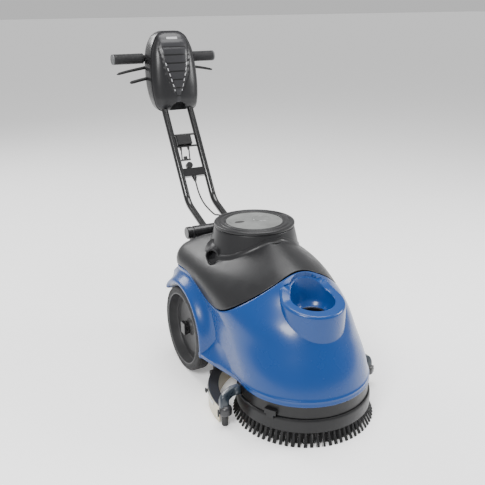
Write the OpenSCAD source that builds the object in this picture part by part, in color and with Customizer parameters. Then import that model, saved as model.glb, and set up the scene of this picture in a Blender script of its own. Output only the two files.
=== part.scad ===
// Walk-behind wet dry floor scrubber with one disc brush, a curved floor squeegee, a lift-off
// recovery tank, two transport wheels and a folding handle.
// +Z is up, -Y is the front and X runs across. The origin is on the floor, at mid length.
// Every "y" value below is counted from the brush axis, and brush_y places that axis.

/* [Brush] */
// Circle that the bristle tips touch on the floor
brush_d = 344; // [300:1:380]
// Diameter of the brush block
block_d = 325; // [285:1:360]
// Free length of the bristles
bristle_len = 30; // [20:1:40]
// Height of the brush block
block_h = 35; // [28:1:40]
// Running gap between brush and deck
deck_gap = 1.6; // [1:0.1:4]

/* [Body] */
// Greatest width of the tank bodies
body_w = 326; // [290:1:392]
// Reach of the nose in front of the brush axis
body_front = 160; // [150:1:175]
// Reach of the tank bodies behind the brush axis
body_rear = 434; // [400:1:440]
// Wall of the moulded tanks
tank_wall = 4; // [3:0.5:6]
// Gap between the two tanks
tank_gap = 2; // [1.5:0.5:4]

/* [Dome and lid] */
// Diameter of the dome at its foot
dome_d = 242; // [220:1:252]
// Diameter of the dome at its mouth
mouth_d = 206; // [180:1:212]
// Height of the dome's mouth above the floor
mouth_z = 404; // [396:1:440]
// Thickness of the lid
lid_h = 9; // [7:0.5:14]
// Diameter of the clear window in the lid
window_d = 146; // [110:1:160]

/* [Filler] */
// Diameter of the filler bowl at its rim
bowl_d = 102; // [86:1:108]
// Diameter of the filler throat
throat_d = 60; // [44:1:70]
// Height of the bowl's rim
bowl_z = 304; // [298:1:310]

/* [Wheels] */
// Diameter of a transport wheel
wheel_d = 232; // [200:1:250]
// Width of a transport wheel
wheel_w = 40; // [30:1:46]
// Distance between the wheels' centre planes
track = 331; // [325:1:400]
// Distance from the brush axis to the axle
wheel_y = 321; // [310:1:326]
// Diameter of the axle
axle_d = 16; // [12:1:22]
// Running gap round a wheel in its arch
arch_gap = 8; // [6:1:14]

/* [Squeegee] */
// Radius of the curved squeegee at mid width
squeegee_r = 215; // [205:1:218]
// Width of the squeegee holder
holder_w = 26; // [22:1:32]
// Thickness of the squeegee holder
holder_h = 12; // [9:1:16]
// Height of the squeegee blades
blade_h = 44; // [38:1:48]
// Thickness of a squeegee blade
blade_t = 3; // [2:0.5:4]
// Lift of the blades' tips off the floor
blade_lift = 0.6; // [0.4:0.1:3]

/* [Handle] */
// Diameter of the handle tubes
tube_d = 20; // [16:1:24]
// Distance between the handle tubes
tube_gap = 84; // [76:1:92]
// Distance from the brush axis to the fold axis
fold_y = 462; // [460:1:475]
// Height of the fold axis
fold_z = 333; // [326:1:345]
// Diameter of the fold barrel
barrel_d = 35; // [28:1:36]
// Distance from the brush axis to the grips
grip_y = 852; // [840:1:870]
// Height of the grips' axis
grip_z = 786; // [776:1:796]
// Overall length of the handlebar
bar_len = 340; // [300:1:400]
// Diameter of a grip
grip_d = 32; // [28:1:36]

/* [Hidden] */

$fn = 72;
eps = 0.01;
fit = 0.05;          // radial clearance of a running shaft or pin
air = 0.4;           // gap between pieces that must never touch
screw_d = 6;

// Overall length sets the origin.
rear_reach = grip_y + grip_d / 2;
brush_y = -(rear_reach - brush_d / 2) / 2;
module placed() { translate([0, brush_y, 0]) children(); }
module mirrored() { children(); mirror([1, 0, 0]) children(); }
module along_x(x0, x1) { translate([x0, 0, 0]) rotate([90, 0, 90]) linear_extrude(x1 - x0) children(); }

// Heights of the brush and deck stack.
block_z = bristle_len;
block_top = block_z + block_h;
deck_z = block_top + deck_gap;
base_z = 95;                       // lower edge of the tank bodies
deck_t = 5;
deck_r = body_front - 3;
hub_z = block_z + 12;

// ---- Tank bodies: one family of plan outlines, given at stations of height ----
// Each station: height, then how far the side, nose and tail are drawn in from the greatest
// width, front reach and rear reach, and the y where the outline is widest.
body_half = body_w / 2;
stations = [
  [95, 3, 0, 4, 0],
  [150, 4, 14, 3, 36],
  [200, 6, 36, 2, 90],
  [250, 0, 66, 1, 172],
  [290, 0, 106, 0, 275],
  [320, 20, 132, 6, 305],
  [345, 57, 169, 40, 280],
  [365, 89, 222, 86, 245],
  [386, 127, 288, 134, 205]
];
last = len(stations) - 1;
top_z = stations[last][0];

function span(z, i = 0) = (i >= last - 1 || z < stations[i + 1][0]) ? i : span(z, i + 1);
function slope(c, i) =
  let (a = max(i - 1, 0), b = min(i + 1, last))
  (stations[b][c] - stations[a][c]) / (stations[b][0] - stations[a][0]);
// Smooth curve through column c of the stations at height z.
function station(c, z) =
  let (i = span(z), h = stations[i + 1][0] - stations[i][0], t = (z - stations[i][0]) / h,
       p0 = stations[i][c], p1 = stations[i + 1][c], m0 = slope(c, i) * h, m1 = slope(c, i + 1) * h)
  (2*t*t*t - 3*t*t + 1) * p0 + (t*t*t - 2*t*t + t) * m0 + (3*t*t - 2*t*t*t) * p1 + (t*t*t - t*t) * m1;

nose_power = 2;                    // round nose
tail_power = 8;                    // square tail
// Point of the outline in direction a (degrees) at height z, drawn in by t.
function skin(a, z, t) =
  let (c = cos(a), s = sin(a), n = s < 0 ? nose_power : tail_power,
       r = pow(pow(abs(c), n) + pow(abs(s), n), -1 / n), y0 = station(4, z),
       w = body_half - station(1, z) - t, yf = -body_front + station(2, z) + t,
       yr = body_rear - station(3, z) - t)
  [w * r * c, y0 + (s < 0 ? y0 - yf : yr - y0) * r * s, z];

// Parting line between the tanks, as a height over x and y: a crest over the wheel, a dip in
// front of it, then a rise to the back of the filler bowl, pushed rearwards at mid width.
crest_y = 325;
crest_z = 277;
dip_y = 165;
dip_z = 236;
notch_z = 350;
tail_drop = 15;
arch_push = 18;
arch_spread = 62;
function parting_side(y) =
  y > crest_y ? crest_z - tail_drop * pow((y - crest_y) / (body_rear - crest_y), 2) :
  y > dip_y ? dip_z + (crest_z - dip_z) * (1 - cos(180 * (y - dip_y) / (crest_y - dip_y))) / 2 :
  dip_z + (notch_z - dip_z) * pow((dip_y - y) / dip_y, 2.2);
function parting(p) = parting_side(p[1] - arch_push * exp(-pow(p[0] / arch_spread, 2)));
// Height where the skin meets the parting line in direction a, found by halving.
function cut_z(a, t, lo, hi, k = 0) =
  let (z = (lo + hi) / 2)
  k > 14 ? z : z < parting(skin(a, z, t)) ? cut_z(a, t, z, hi, k + 1) : cut_z(a, t, lo, z, k + 1);

directions = 48;
function heading(i) = -90 + (i + 0.5) * 360 / directions;
// Closed solid between two heights given for each direction; its ends are ruled across X.
module skin_solid(low, high, rings, t) {
  n = directions;
  points = [for (k = [0:rings]) for (i = [0:n - 1])
    skin(heading(i), low[i] + (high[i] - low[i]) * k / rings, t)];
  sides = [for (k = [0:rings - 1]) for (i = [0:n - 1])
    let (j = (i + 1) % n, a = k * n + i, b = k * n + j, c = a + n, d = b + n)
    each [[a, c, d], [a, d, b]]];
  foot = [for (i = [0:n / 2 - 2]) [i, i + 1, n - 2 - i, n - 1 - i]];
  head = [for (f = foot) [for (q = [3:-1:0]) f[q] + rings * n]];
  polyhedron(points, concat(sides, foot, head), convexity = 6);
}
function level(z) = [for (i = [0:directions - 1]) z];
function parted(t, rise) = [for (i = [0:directions - 1]) cut_z(heading(i), t, base_z, top_z) + rise];

// ---- Filler bowl in the nose ----
bowl_y = -35;
cup_r = bowl_d / 2 + 25;
cup_fall = 10;                     // degrees that the cup's top falls towards the front
cup_foot = 205;
bowl_floor = bowl_z - 40;
throat_z = bowl_floor - 26;
// Upright round column whose top falls towards the front.
module cup_column(r, z, drop) {
  difference() {
    translate([0, bowl_y, z]) cylinder(r = r, h = bowl_z - z + 20);
    translate([0, bowl_y, bowl_z - drop]) rotate([cup_fall, 0, 0])
      translate([-2 * cup_r, -2 * cup_r, 0]) cube([4 * cup_r, 4 * cup_r, 90]);
  }
}
module bowl_form(grow) {
  translate([0, bowl_y, 0]) rotate_extrude() polygon([
    [0, throat_z - eps - grow], [throat_d / 2 + grow, throat_z - eps - grow],
    [throat_d / 2 + grow, bowl_floor - grow], [bowl_d / 2 - 8 + grow, bowl_floor + 14 - grow],
    [bowl_d / 2 + grow, bowl_z], [bowl_d / 2 + grow, bowl_z + 90], [0, bowl_z + 90]]);
}
bowl_slope = (bowl_d / 2 - 8 - throat_d / 2) / 14;
bowl_rise = 33;                    // slope of the bowl's wall up to the back of the nose
cup_end = 8;
module cup_half(r, z, drop) {
  difference() {
    cup_column(r, z, drop);
    translate([-cup_r, cup_end, z - 2]) cube([2 * cup_r, 2 * cup_r, 200]);
  }
}
module bowl_wall() {
  difference() {
    bowl_form(tank_wall);
    translate([0, bowl_y, bowl_z]) rotate([bowl_rise, 0, 0]) translate([-90, -150, 0])
      cube([180, 300, 260]);
  }
}
module cup_hollow() {
  difference() {
    cup_half(cup_r - tank_wall, cup_foot - 1, tank_wall);
    bowl_form(tank_wall);
  }
}

// ---- Wheel arches, fenders and sills of the solution tank ----
axle_z = wheel_d / 2;
arch_r = wheel_d / 2 + arch_gap;
well_x = track / 2 - wheel_w / 2 - 3;
fender_x = max(track / 2 + wheel_w / 2 + 5, body_half + 22);
fender_t = 17;
fender_from = 39;
fender_to = 190;
arch_band = fender_t + 4;
module wheel_round(x, r, depth) {
  translate([x, wheel_y, axle_z]) rotate([0, 90, 0]) cylinder(r = r, h = depth);
}
module fender() {
  translate([0, wheel_y, axle_z]) rotate([90, 0, 90]) rotate([0, 0, fender_from])
    rotate_extrude(angle = fender_to - fender_from) polygon([
      [arch_r, well_x - 2], [arch_r + arch_band, well_x - 2],
      [arch_r + arch_band, fender_x - 16], [arch_r + fender_t - 4, fender_x - 10],
      [arch_r + fender_t - 4, fender_x - 4], [arch_r + fender_t - 8, fender_x],
      [arch_r, fender_x]]);
}
module well_plate() {
  difference() {
    wheel_round(well_x - tank_wall, arch_r + arch_band, tank_wall);
    translate([0, wheel_y - 200, -60]) cube([300, 400, base_z + 60]);
    translate([0, body_rear - 6, 0]) cube([300, 100, 400]);
    wheel_round(well_x - 20, axle_d / 2 + air, 40);
  }
}
sill_h = 14;
module sill() {
  side = body_half - 2.7;
  translate([0, 0, base_z - 3]) linear_extrude(sill_h) polygon([
    [side, 56], [fender_x - 16, 118], [fender_x - 5, 166], [fender_x, 196], [side, 196]]);
}
module arch() {
  fender();
  well_plate();
  sill();
}
module right_arch() color([0.10, 0.36, 0.67]) placed() arch();
module left_arch() color([0.10, 0.36, 0.67]) placed() mirror([1, 0, 0]) arch();
duct_r = 20;
duct_y = 189;
module filler_cup() color([0.10, 0.36, 0.67]) placed() difference() {
  union() {
    cup_half(cup_r - 3 * fit, cup_foot, 0);
    bowl_wall();
  }
  cup_hollow();
  bowl_form(0);
  translate([0, bowl_y, cup_foot - 1]) cylinder(r = throat_d / 2, h = 90);
}
module solution_tank() color([0.10, 0.36, 0.67]) placed() difference() {
  skin_solid(level(base_z), parted(0, 0), 10, 0);
  skin_solid(level(base_z - 1), parted(tank_wall, -tank_wall), 8, tank_wall);
  difference() {
    translate([0, bowl_y, cup_foot]) cylinder(r = cup_r, h = 200);
    translate([-cup_r, cup_end, cup_foot - 1]) cube([2 * cup_r, cup_r, 300]);
  }
  translate([0, bowl_y, throat_z]) cylinder(r = bowl_d / 2 + tank_wall + 4 * fit, h = 200);
  mirrored() wheel_round(well_x - tank_wall - 0.3, arch_r + arch_band + 10 * fit, 80);
  translate([0, duct_y, 180]) cylinder(r = duct_r + air, h = 100);
}

// ---- Recovery tank ----
dome_y = 249.5;
dome_foot = 325;
module dome(t, low, high) {
  run = (dome_d - mouth_d) / 2 / (mouth_z - dome_foot);
  translate([0, dome_y, 0]) rotate_extrude() polygon([
    [0, low], [dome_d / 2 - t - run * (low - dome_foot), low],
    [dome_d / 2 - t - run * (high - dome_foot), high], [0, high]]);
}
port_x = -127;
port_y = 238;
port_z = 338;
port_turn = 35;                     // the port looks forward of straight left by this angle
port_r = 16.5;
hose_r = 14;
hose_port_z = 289;
// Along the side port, from its face inwards
module port_way() translate([port_x, port_y, port_z]) rotate([0, 90, port_turn]) children();

module recovery_tank() color([0.27, 0.27, 0.28]) placed() difference() {
  union() {
    skin_solid(parted(0, tank_gap), level(top_z), 12, 0);
    dome(0, dome_foot, mouth_z);
    port_way() cylinder(r = port_r + 4.5, h = 36);
  }
  difference() {
    union() {
      skin_solid(parted(tank_wall, tank_gap + tank_wall), level(top_z - tank_wall), 10, tank_wall);
      dome(tank_wall, dome_foot - 20, mouth_z + 1);
    }
    port_way() translate([0, 0, -34]) cylinder(r = port_r + 4.5, h = 70);
  }
  // the bore carries on outwards as a scoop, so that a hose clears the tank's shoulder
  port_way() translate([0, 0, -34]) cylinder(r = port_r, h = 57);
  translate([0, duct_y, 180]) cylinder(r = duct_r + fit, h = 100);
  translate([0, body_rear + 1, hose_port_z]) rotate([90, 0, 0]) cylinder(r = hose_r - 3, h = 40);
}

// ---- Chassis pieces ----
shaft_r = 9;
nose_r = 30;
motor_y = 85;
motor_r = 46;
frame_t = 5;
frame_z = base_z - frame_t;        // underside of the frame plate
plate_y = 160;                     // the plate starts behind the round deck
back_y = body_rear + 0.6;          // face of the frame's upright back plate
back_t = 4.5;
pivot_y = 25;                      // squeegee lift axis
pivot_z = 80;
pivot_r = 5;
pivot_x = deck_r + 3;
catch_at = 212;                     // heading of the brush catch, ahead of the left arm

module brush_deck() color([0.07, 0.07, 0.08]) placed() {
  difference() {
    rotate_extrude() polygon([
      [nose_r + air, frame_z], [deck_r - deck_t, frame_z], [deck_r - deck_t, deck_z],
      [deck_r, deck_z], [deck_r, base_z - air], [nose_r + air, base_z - air]]);
    translate([-200, plate_y - air, 0]) cube([400, 200, 200]);
  }
  mirrored() translate([pivot_x, pivot_y, pivot_z]) rotate([0, 90, 0]) {
    translate([0, 0, -8]) cylinder(r = 9, h = 8);
    cylinder(r = pivot_r, h = 20);
  }
  // catch that frees the brush
  rotate([0, 0, catch_at]) {
    translate([deck_r - 2, -15, block_top + 4]) cube([block_d / 2 + 6 - deck_r, 30, 12]);
    translate([block_d / 2 + 1.5, -9, block_top - 5]) cube([2.5, 18, 21]);
  }
}

rail_h = 30;
battery_y = 245;
battery_len = 162;
ear_x = 116;
ear_t = 8;
// Room above the suction nozzle when the squeegee is lifted
nozzle_clear = base_z + 10;
// Upright tongue with the entry of the handle's cable, clear of the tank and of the barrel
module cable_inlet() {
  translate([-30, back_y, base_z + 140]) cube([12, back_t, inlet_z - base_z - 140]);
  translate([-30, back_y, inlet_z - 16]) cube([38, back_t, 16]);
  translate([0, strip_y + 1, inlet_z - 12]) cylinder(r = 5, h = 16);
}
module base_frame() color([0.13, 0.13, 0.14]) placed() difference() {
  union() {
    cable_inlet();
    translate([-130, plate_y, frame_z]) cube([260, back_y - plate_y + back_t, frame_t]);
    translate([-100, -70, base_z]) cube([200, plate_y + 160, frame_t]);
    translate([-96, back_y, frame_z]) cube([192, back_t, 160]);
    for (y = [battery_y + 6, battery_y + battery_len - 18])
      translate([-128, y, base_z]) cube([256, 12, rail_h + 5]);
    mirrored() translate([ear_x, wheel_y - 22, base_z]) cube([ear_t, 44, rail_h + 5]);
  }
  translate([0, 0, 50]) cylinder(r = nose_r + air, h = 80);
  translate([-46, nozzle_y - 24, 60]) cube([92, 66, nozzle_clear - 60]);
  translate([-ear_x - 20, wheel_y, axle_z]) rotate([0, 90, 0])
    cylinder(r = axle_d / 2 + fit, h = 2 * ear_x + 40);
}

module gearbox() color([0.55, 0.56, 0.58]) placed() difference() {
  union() {
    translate([0, 0, hub_z + 26]) cylinder(r = nose_r, h = base_z + frame_t - hub_z - 26);
    translate([0, 0, base_z + frame_t]) cylinder(r = 42, h = 34);
    translate([-34, 0, base_z + frame_t]) cube([68, motor_y, 34]);
    translate([0, motor_y, base_z + frame_t]) cylinder(r = motor_r, h = 34);
  }
  cylinder(r = shaft_r + fit, h = 200);
}
motor_z = base_z + frame_t + 34;
module brush_motor() color([0.20, 0.21, 0.23]) placed() translate([0, motor_y, motor_z]) {
  cylinder(r = motor_r, h = 66);
  translate([0, 0, 66]) cylinder(r = motor_r - 8, h = 20);
  translate([0, 0, 86]) cylinder(r = 12, h = 6);
}
module batteries() color([0.16, 0.17, 0.19]) placed()
  mirrored() translate([2, battery_y, base_z + rail_h + 5.2]) {
    cube([128, battery_len, 112]);
    for (y = [24, battery_len - 24])
      translate([30, y, 112]) cylinder(r = 8, h = 6);
  }
vac_r = 50;
vac_top = 205;
duct_top = 235;
module vacuum_motor() color([0.30, 0.31, 0.33]) placed() translate([0, duct_y, base_z + frame_t]) {
  cylinder(r = vac_r, h = 62);
  difference() {
    translate([0, 0, 62]) union() {
      cylinder(r = vac_r - 12, h = vac_top - base_z - frame_t - 62);
      cylinder(r = duct_r, h = duct_top - base_z - frame_t - 62);
    }
    translate([0, 0, 80]) cylinder(r = duct_r - 3, h = 100);
  }
}
module control_module() color([0.12, 0.12, 0.13]) placed() translate([64, 142, base_z + frame_t]) {
  cube([58, 90, 96]);
  for (y = [14 : 20 : 76]) translate([58, y, 10]) cube([4, 4, 76]);
}
module solution_feed() color([0.75, 0.76, 0.74]) placed() {
  // valve body, inlet and the tube down to the brush
  translate([-98, 150, base_z + frame_t]) cube([30, 40, 46]);
  translate([-83, 170, base_z + frame_t + 46]) cylinder(r = 9, h = 24);
  translate([-83, 130, base_z + frame_t + 16]) rotate([-90, 0, 0]) cylinder(r = 6, h = 20);
}
module filler_strainer() color([0.80, 0.81, 0.82]) placed() translate([0, bowl_y, 0])
  difference() {
    union() {
      translate([0, 0, bowl_floor + 0.6])
        cylinder(r1 = throat_d / 2 + 0.32 * bowl_slope, r2 = throat_d / 2 + 3.25 * bowl_slope, h = 3);
      translate([0, 0, cup_foot + 8]) cylinder(r = throat_d / 2 - 1, h = bowl_floor - cup_foot - 7);
    }
    translate([0, 0, cup_foot + 11]) cylinder(r = throat_d / 2 - 4, h = 90);
    for (a = [0 : 60 : 300]) rotate([0, 0, a])
      translate([10, -3, cup_foot + 16]) cube([30, 6, 24]);
  }
module axle() color([0.70, 0.71, 0.73]) placed() translate([0, wheel_y, axle_z]) rotate([0, 90, 0])
  cylinder(r = axle_d / 2, h = 2 * (hub_face + 4), center = true);
hub_face = track / 2 + wheel_w / 2 - 17;

// Two plates carry the fold pin; a strip across their fronts holds the cable inlet.
bracket_x = 84;
bracket_t = 6;
pin_r = 6;
strip_y = back_y + back_t;
inlet_z = fold_z + barrel_d / 2 + 6;
module bracket_outline() {
  difference() {
    hull() {
      translate([fold_y, fold_z]) circle(r = 15, $fn = 32);
      translate([strip_y, 225]) square([34, 10]);
    }
    translate([fold_y, fold_z]) circle(r = pin_r + fit);
  }
  translate([strip_y, 105]) square([30, 122]);
}
module handle_brackets() color([0.08, 0.08, 0.09]) placed() {
  difference() {
    union() {
      mirrored() along_x(bracket_x, bracket_x + bracket_t) bracket_outline();
      mirrored() translate([bracket_x - 22, strip_y, 105]) cube([23, 4, 150]);
    }
    mirrored() for (z = [125, 225]) translate([bracket_x - 12, strip_y - 1, z])
      rotate([-90, 0, 0]) cylinder(r = screw_d / 2 + 0.2, h = 6);
  }
}
module bracket_bolts() color([0.60, 0.61, 0.63]) placed()
  mirrored() for (z = [125, 225]) translate([bracket_x - 12, strip_y + 4, z]) rotate([-90, 0, 0]) {
    cylinder(r = 5.5, h = 4, $fn = 6);
    translate([0, 0, -4]) cylinder(r = screw_d / 2, h = 4);
  }
module fold_pin() color([0.65, 0.66, 0.68]) placed() translate([0, fold_y, fold_z])
  rotate([0, 90, 0]) {
    cylinder(r = pin_r, h = 2 * (bracket_x + bracket_t + 2), center = true);
    // round end caps outside the brackets
    for (s = [0, 1]) mirror([0, 0, s]) translate([0, 0, bracket_x + bracket_t + 0.2]) {
      cylinder(r = barrel_d / 2, h = 12);
      cylinder(r = barrel_d / 2 - 2, h = 14);
    }
  }
// ---- Inside the recovery tank, and its lid ----
tank_floor = 240;
pipe_top = 338;
module float_cage() color([0.82, 0.82, 0.80]) placed() translate([0, duct_y, 0]) difference() {
  union() {
    translate([0, 0, tank_floor]) cylinder(r = duct_r, h = pipe_top - tank_floor);
    translate([0, 0, pipe_top]) cylinder(r = duct_r + 4, h = 50);
  }
  translate([0, 0, tank_floor - 1]) cylinder(r = duct_r - 3, h = 84);
  translate([0, 0, pipe_top + 3]) cylinder(r = duct_r + 1, h = 44);
  for (a = [0, 90]) rotate([0, 0, a]) translate([-30, -9, pipe_top + 6]) cube([60, 18, 36]);
}
ball_r = 14;
module float_ball() color([0.93, 0.93, 0.90]) placed()
  translate([0, duct_y, pipe_top + 3 + ball_r + 0.2]) sphere(r = ball_r);
mouth_r = mouth_d / 2;
module lid_seal() color([0.05, 0.05, 0.05]) placed() translate([0, dome_y, mouth_z])
  rotate_extrude() translate([mouth_r - 3, 0.6]) square([2, 1.2], center = true);
lid_z = mouth_z + 1.4;
lid_r = mouth_r + 1.6;
module lid_ring() color([0.20, 0.20, 0.21]) placed() translate([0, dome_y, lid_z]) rotate_extrude()
  polygon([[window_d / 2 - 6, 0], [window_d / 2 - 6, -8], [mouth_r - 10, -8], [mouth_r - 10, 0],
    [lid_r, 0], [lid_r, lid_h - 3], [lid_r - 3, lid_h - 1], [lid_r - 9, lid_h - 1],
    [lid_r - 11, lid_h - 3], [lid_r - 15, lid_h - 3], [lid_r - 17, lid_h - 1.4],
    [window_d / 2 + air, lid_h - 1.4], [window_d / 2 + air, lid_h - 4.4],
    [window_d / 2 - 6, lid_h - 4.4]]);
module lid_window() color([0.62, 0.63, 0.60, 0.8]) placed()
  translate([0, dome_y, lid_z + lid_h - 4.2]) {
    cylinder(r = window_d / 2, h = 2.8);
    translate([26, 8, 2.8]) difference() {
      cylinder(r = 25, h = 1.2);
      translate([0, 0, -1]) cylinder(r = 21, h = 4);
    }
    translate([-34, -12, 2.8]) cylinder(r = 14, h = 1.2);
  }

// ---- Wheels, modelled on the left and mirrored ----
rim_r = wheel_d / 2 - 18;
web_x = track / 2 - wheel_w / 2 + 6;
hub_r = 20;
wheel_in = track / 2 - wheel_w / 2;
wheel_out = track / 2 + wheel_w / 2;
module on_axle() { translate([0, wheel_y, axle_z]) rotate([0, 90, 0]) rotate([0, 0, 90]) children(); }
module tyre() on_axle() rotate_extrude() polygon([
  [rim_r, wheel_in], [wheel_d / 2 - 5, wheel_in], [wheel_d / 2, wheel_in + 6],
  [wheel_d / 2, wheel_out - 6], [wheel_d / 2 - 5, wheel_out], [rim_r, wheel_out]]);
module wheel_disc() on_axle() rotate_extrude() polygon([
  [axle_d / 2 + fit, wheel_in + 1], [hub_r, wheel_in + 1], [hub_r, web_x], [rim_r - 4, web_x],
  [rim_r - 4, wheel_in], [rim_r, wheel_in], [rim_r, wheel_out], [rim_r - 3, wheel_out],
  [rim_r - 4, web_x + 6], [hub_r, web_x + 6], [hub_r, hub_face - 1], [axle_d / 2 + fit, hub_face - 1]]);
module hub_cap() difference() {
  on_axle() translate([0, 0, hub_face - 0.8]) union() {
    cylinder(r = hub_r - 2, h = 6);
    translate([-12, -16, 6]) cube([24, 32, 8.5]);
  }
  on_axle() cylinder(r = axle_d / 2 + 4.4, h = hub_face + 8);
}
module left_tyre() color([0.42, 0.42, 0.42]) placed() mirror([1, 0, 0]) tyre();
module right_tyre() color([0.42, 0.42, 0.42]) placed() tyre();
module left_wheel_disc() color([0.50, 0.50, 0.50]) placed() mirror([1, 0, 0]) wheel_disc();
module right_wheel_disc() color([0.50, 0.50, 0.50]) placed() wheel_disc();
module left_hub_cap() color([0.20, 0.20, 0.21]) placed() mirror([1, 0, 0]) hub_cap();
module right_hub_cap() color([0.20, 0.20, 0.21]) placed() hub_cap();

// ---- Brush ----
block_r = block_d / 2;
module brush_block() color([0.24, 0.24, 0.25]) placed() rotate_extrude() polygon([
  [40, block_z], [block_r - 2, block_z], [block_r, block_z + 3], [block_r, block_top - 3],
  [block_r - 1, block_top], [block_r - 9, block_top], [block_r - 12, block_z + 12],
  [40, block_z + 12]]);
module brush_bristles() color([0.06, 0.06, 0.06]) placed() rotate_extrude() polygon([
  [70, 0], [brush_d / 2, 0], [block_r - 6, block_z], [70, block_z]]);
module drive_plate() color([0.30, 0.31, 0.33]) placed() {
  translate([0, 0, hub_z]) difference() {
    cylinder(r = 62, h = 8);
    translate([0, 0, -1]) cylinder(r = shaft_r, h = 20);
  }
  for (a = [30, 150, 270]) rotate([0, 0, a]) translate([44, 0, hub_z + 8]) cylinder(r = 6, h = 6);
}
module drive_shaft() color([0.70, 0.71, 0.73]) placed()
  translate([0, 0, hub_z]) cylinder(r = shaft_r, h = base_z + 30 - hub_z);

// ---- Squeegee ----
curve_y = 45;                      // centre of the squeegee's curve
curve_r = squeegee_r - 15;
curve_from = -4;
holder_z = blade_lift + blade_h - 9;
holder_top = holder_z + holder_h;
end_x = curve_r * cos(curve_from);
end_y = curve_y + curve_r * sin(curve_from);
module curved(from, low, high, inner, outer) {
  translate([0, curve_y, 0]) rotate([0, 0, from]) rotate_extrude(angle = 180 - 2 * from)
    translate([inner, low]) square([outer - inner, high - low]);
}
arm_r = 11;
knob_y = 12;
arm_x = pivot_x + 12;
arm_points = [[arm_x, pivot_y + 4, pivot_z], [arm_x + 30, pivot_y - 3, pivot_z - 8],
  [arm_x + 34, knob_y, holder_top + 10]];
module rod(a, b, r) {
  v = b - a;
  translate(a) rotate([0, acos(v[2] / norm(v)), atan2(v[1], v[0])]) cylinder(r = r, h = norm(v));
}
// Square bar from a to b, longer by m at each end
module bar(a, b, w, t, m) {
  v = b - a;
  translate(a) rotate([0, acos(v[2] / norm(v)), atan2(v[1], v[0])]) translate([-w / 2, -t / 2, -m])
    cube([w, t, norm(v) + 2 * m]);
}
castor_x = well_x - 4;
castor_y = 232;
castor_r = 10;
castor_z = castor_r + blade_lift;
roller_x = arm_x + 32;
roller_y = knob_y + 4;
roller_r = 8;
module squeegee_holder() color([0.10, 0.11, 0.13]) placed() difference() {
  union() {
    curved(curve_from, holder_z, holder_top, curve_r - holder_w / 2, curve_r + holder_w / 2);
    mirrored() {
      for (i = [0, 1]) bar(arm_points[i], arm_points[i + 1], 2 * arm_r, 2 * arm_r - 2, 4);
      translate([arm_x - 10, pivot_y, pivot_z]) rotate([0, 90, 0]) cylinder(r = 12, h = 16);
      // end knob, with the stub that the roller turns on
      translate([roller_x, knob_y, holder_z - 2]) cylinder(r = 15, h = holder_h + 10);
      translate([roller_x, roller_y, 4]) cylinder(r = 3, h = holder_z);
      translate([end_x - 6, knob_y - 6, holder_z]) cube([roller_x - end_x + 8, end_y - knob_y + 8, holder_h]);
      // leg and stub of the rear castor
      translate([castor_x - 8, 175, holder_top - 6]) cube([8, castor_y - 168, 6]);
      translate([castor_x - 8, castor_y - 6, castor_z - 6])
        cube([3, 12, holder_top - castor_z + 6]);
      translate([castor_x - 8, castor_y, castor_z]) rotate([0, 90, 0]) cylinder(r = 3, h = 11);
    }
  }
  mirrored() translate([pivot_x - 5, pivot_y, pivot_z]) rotate([0, 90, 0])
    cylinder(r = pivot_r + fit, h = 26);
  // mouth of the suction nozzle and the slots that hold the blades
  translate([0, curve_y + curve_r, holder_z - 1]) cylinder(r = hose_r - 4, h = 40);
  for (r = [curve_r - holder_w / 2, curve_r + holder_w / 2 - blade_t])
    curved(curve_from - 1, holder_z - 1, blade_lift + blade_h, r - fit, r + blade_t + fit);
}
module front_blade() color([0.72, 0.66, 0.55]) placed()
  curved(curve_from, blade_lift, blade_lift + blade_h - 0.2, curve_r - holder_w / 2,
    curve_r - holder_w / 2 + blade_t);
module rear_blade() color([0.72, 0.66, 0.55]) placed()
  curved(curve_from, blade_lift, blade_lift + blade_h - 0.2, curve_r + holder_w / 2 - blade_t,
    curve_r + holder_w / 2);
strap_h = 8;
module blade_strap() color([0.62, 0.63, 0.65]) placed()
  curved(curve_from + 8, holder_z - 3, holder_z + strap_h - 3, curve_r + holder_w / 2 + 0.2,
    curve_r + holder_w / 2 + 1.8);
module wing_nuts() color([0.12, 0.12, 0.13]) placed() {
  for (a = [20, 70, 110, 160]) translate([0, curve_y, holder_z + 3]) rotate([0, 0, a])
    translate([curve_r + holder_w / 2 + 1.9, 0, 0]) {
      rotate([0, 90, 0]) cylinder(r = 4, h = 7);
      translate([2, -10, -1.5]) cube([4, 20, 3]);
    }
  mirrored() translate([roller_x + 15.1, knob_y, holder_z + 4]) {
    rotate([0, 90, 0]) cylinder(r = 3, h = 5);
    translate([2, -2, -9]) cube([3, 4, 18]);
  }
}
nozzle_y = curve_y + curve_r;
nozzle_h = 26;
nozzle_z = holder_top + nozzle_h / 2 - 1;
module suction_nozzle() color([0.10, 0.10, 0.11]) placed() difference() {
  union() {
    translate([-24, nozzle_y - 12, holder_top]) cube([48, 24, nozzle_h]);
    translate([0, nozzle_y, holder_top + hose_r]) rotate([-90, 0, 0]) cylinder(r = hose_r, h = 22);
  }
  translate([0, nozzle_y, holder_top - 1]) cylinder(r = hose_r - 4, h = hose_r + 1);
  translate([0, nozzle_y, holder_top + hose_r]) rotate([-90, 0, 0])
    cylinder(r = hose_r - 4, h = 30);
}
module roller() translate([roller_x, roller_y, 2]) difference() {
  cylinder(r = roller_r, h = holder_z - 5.3);
  translate([0, 0, 2]) cylinder(r = 3 + fit, h = 60);
}
module left_roller() color([0.06, 0.06, 0.07]) placed() mirror([1, 0, 0]) roller();
module right_roller() color([0.06, 0.06, 0.07]) placed() roller();
module castor() translate([castor_x - 4.6, castor_y, castor_z]) rotate([0, 90, 0]) difference() {
  cylinder(r = castor_r, h = 8);
  translate([0, 0, -1]) cylinder(r = 3 + fit, h = 20);
}
module left_castor() color([0.06, 0.06, 0.07]) placed() mirror([1, 0, 0]) castor();
module right_castor() color([0.06, 0.06, 0.07]) placed() castor();

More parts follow.
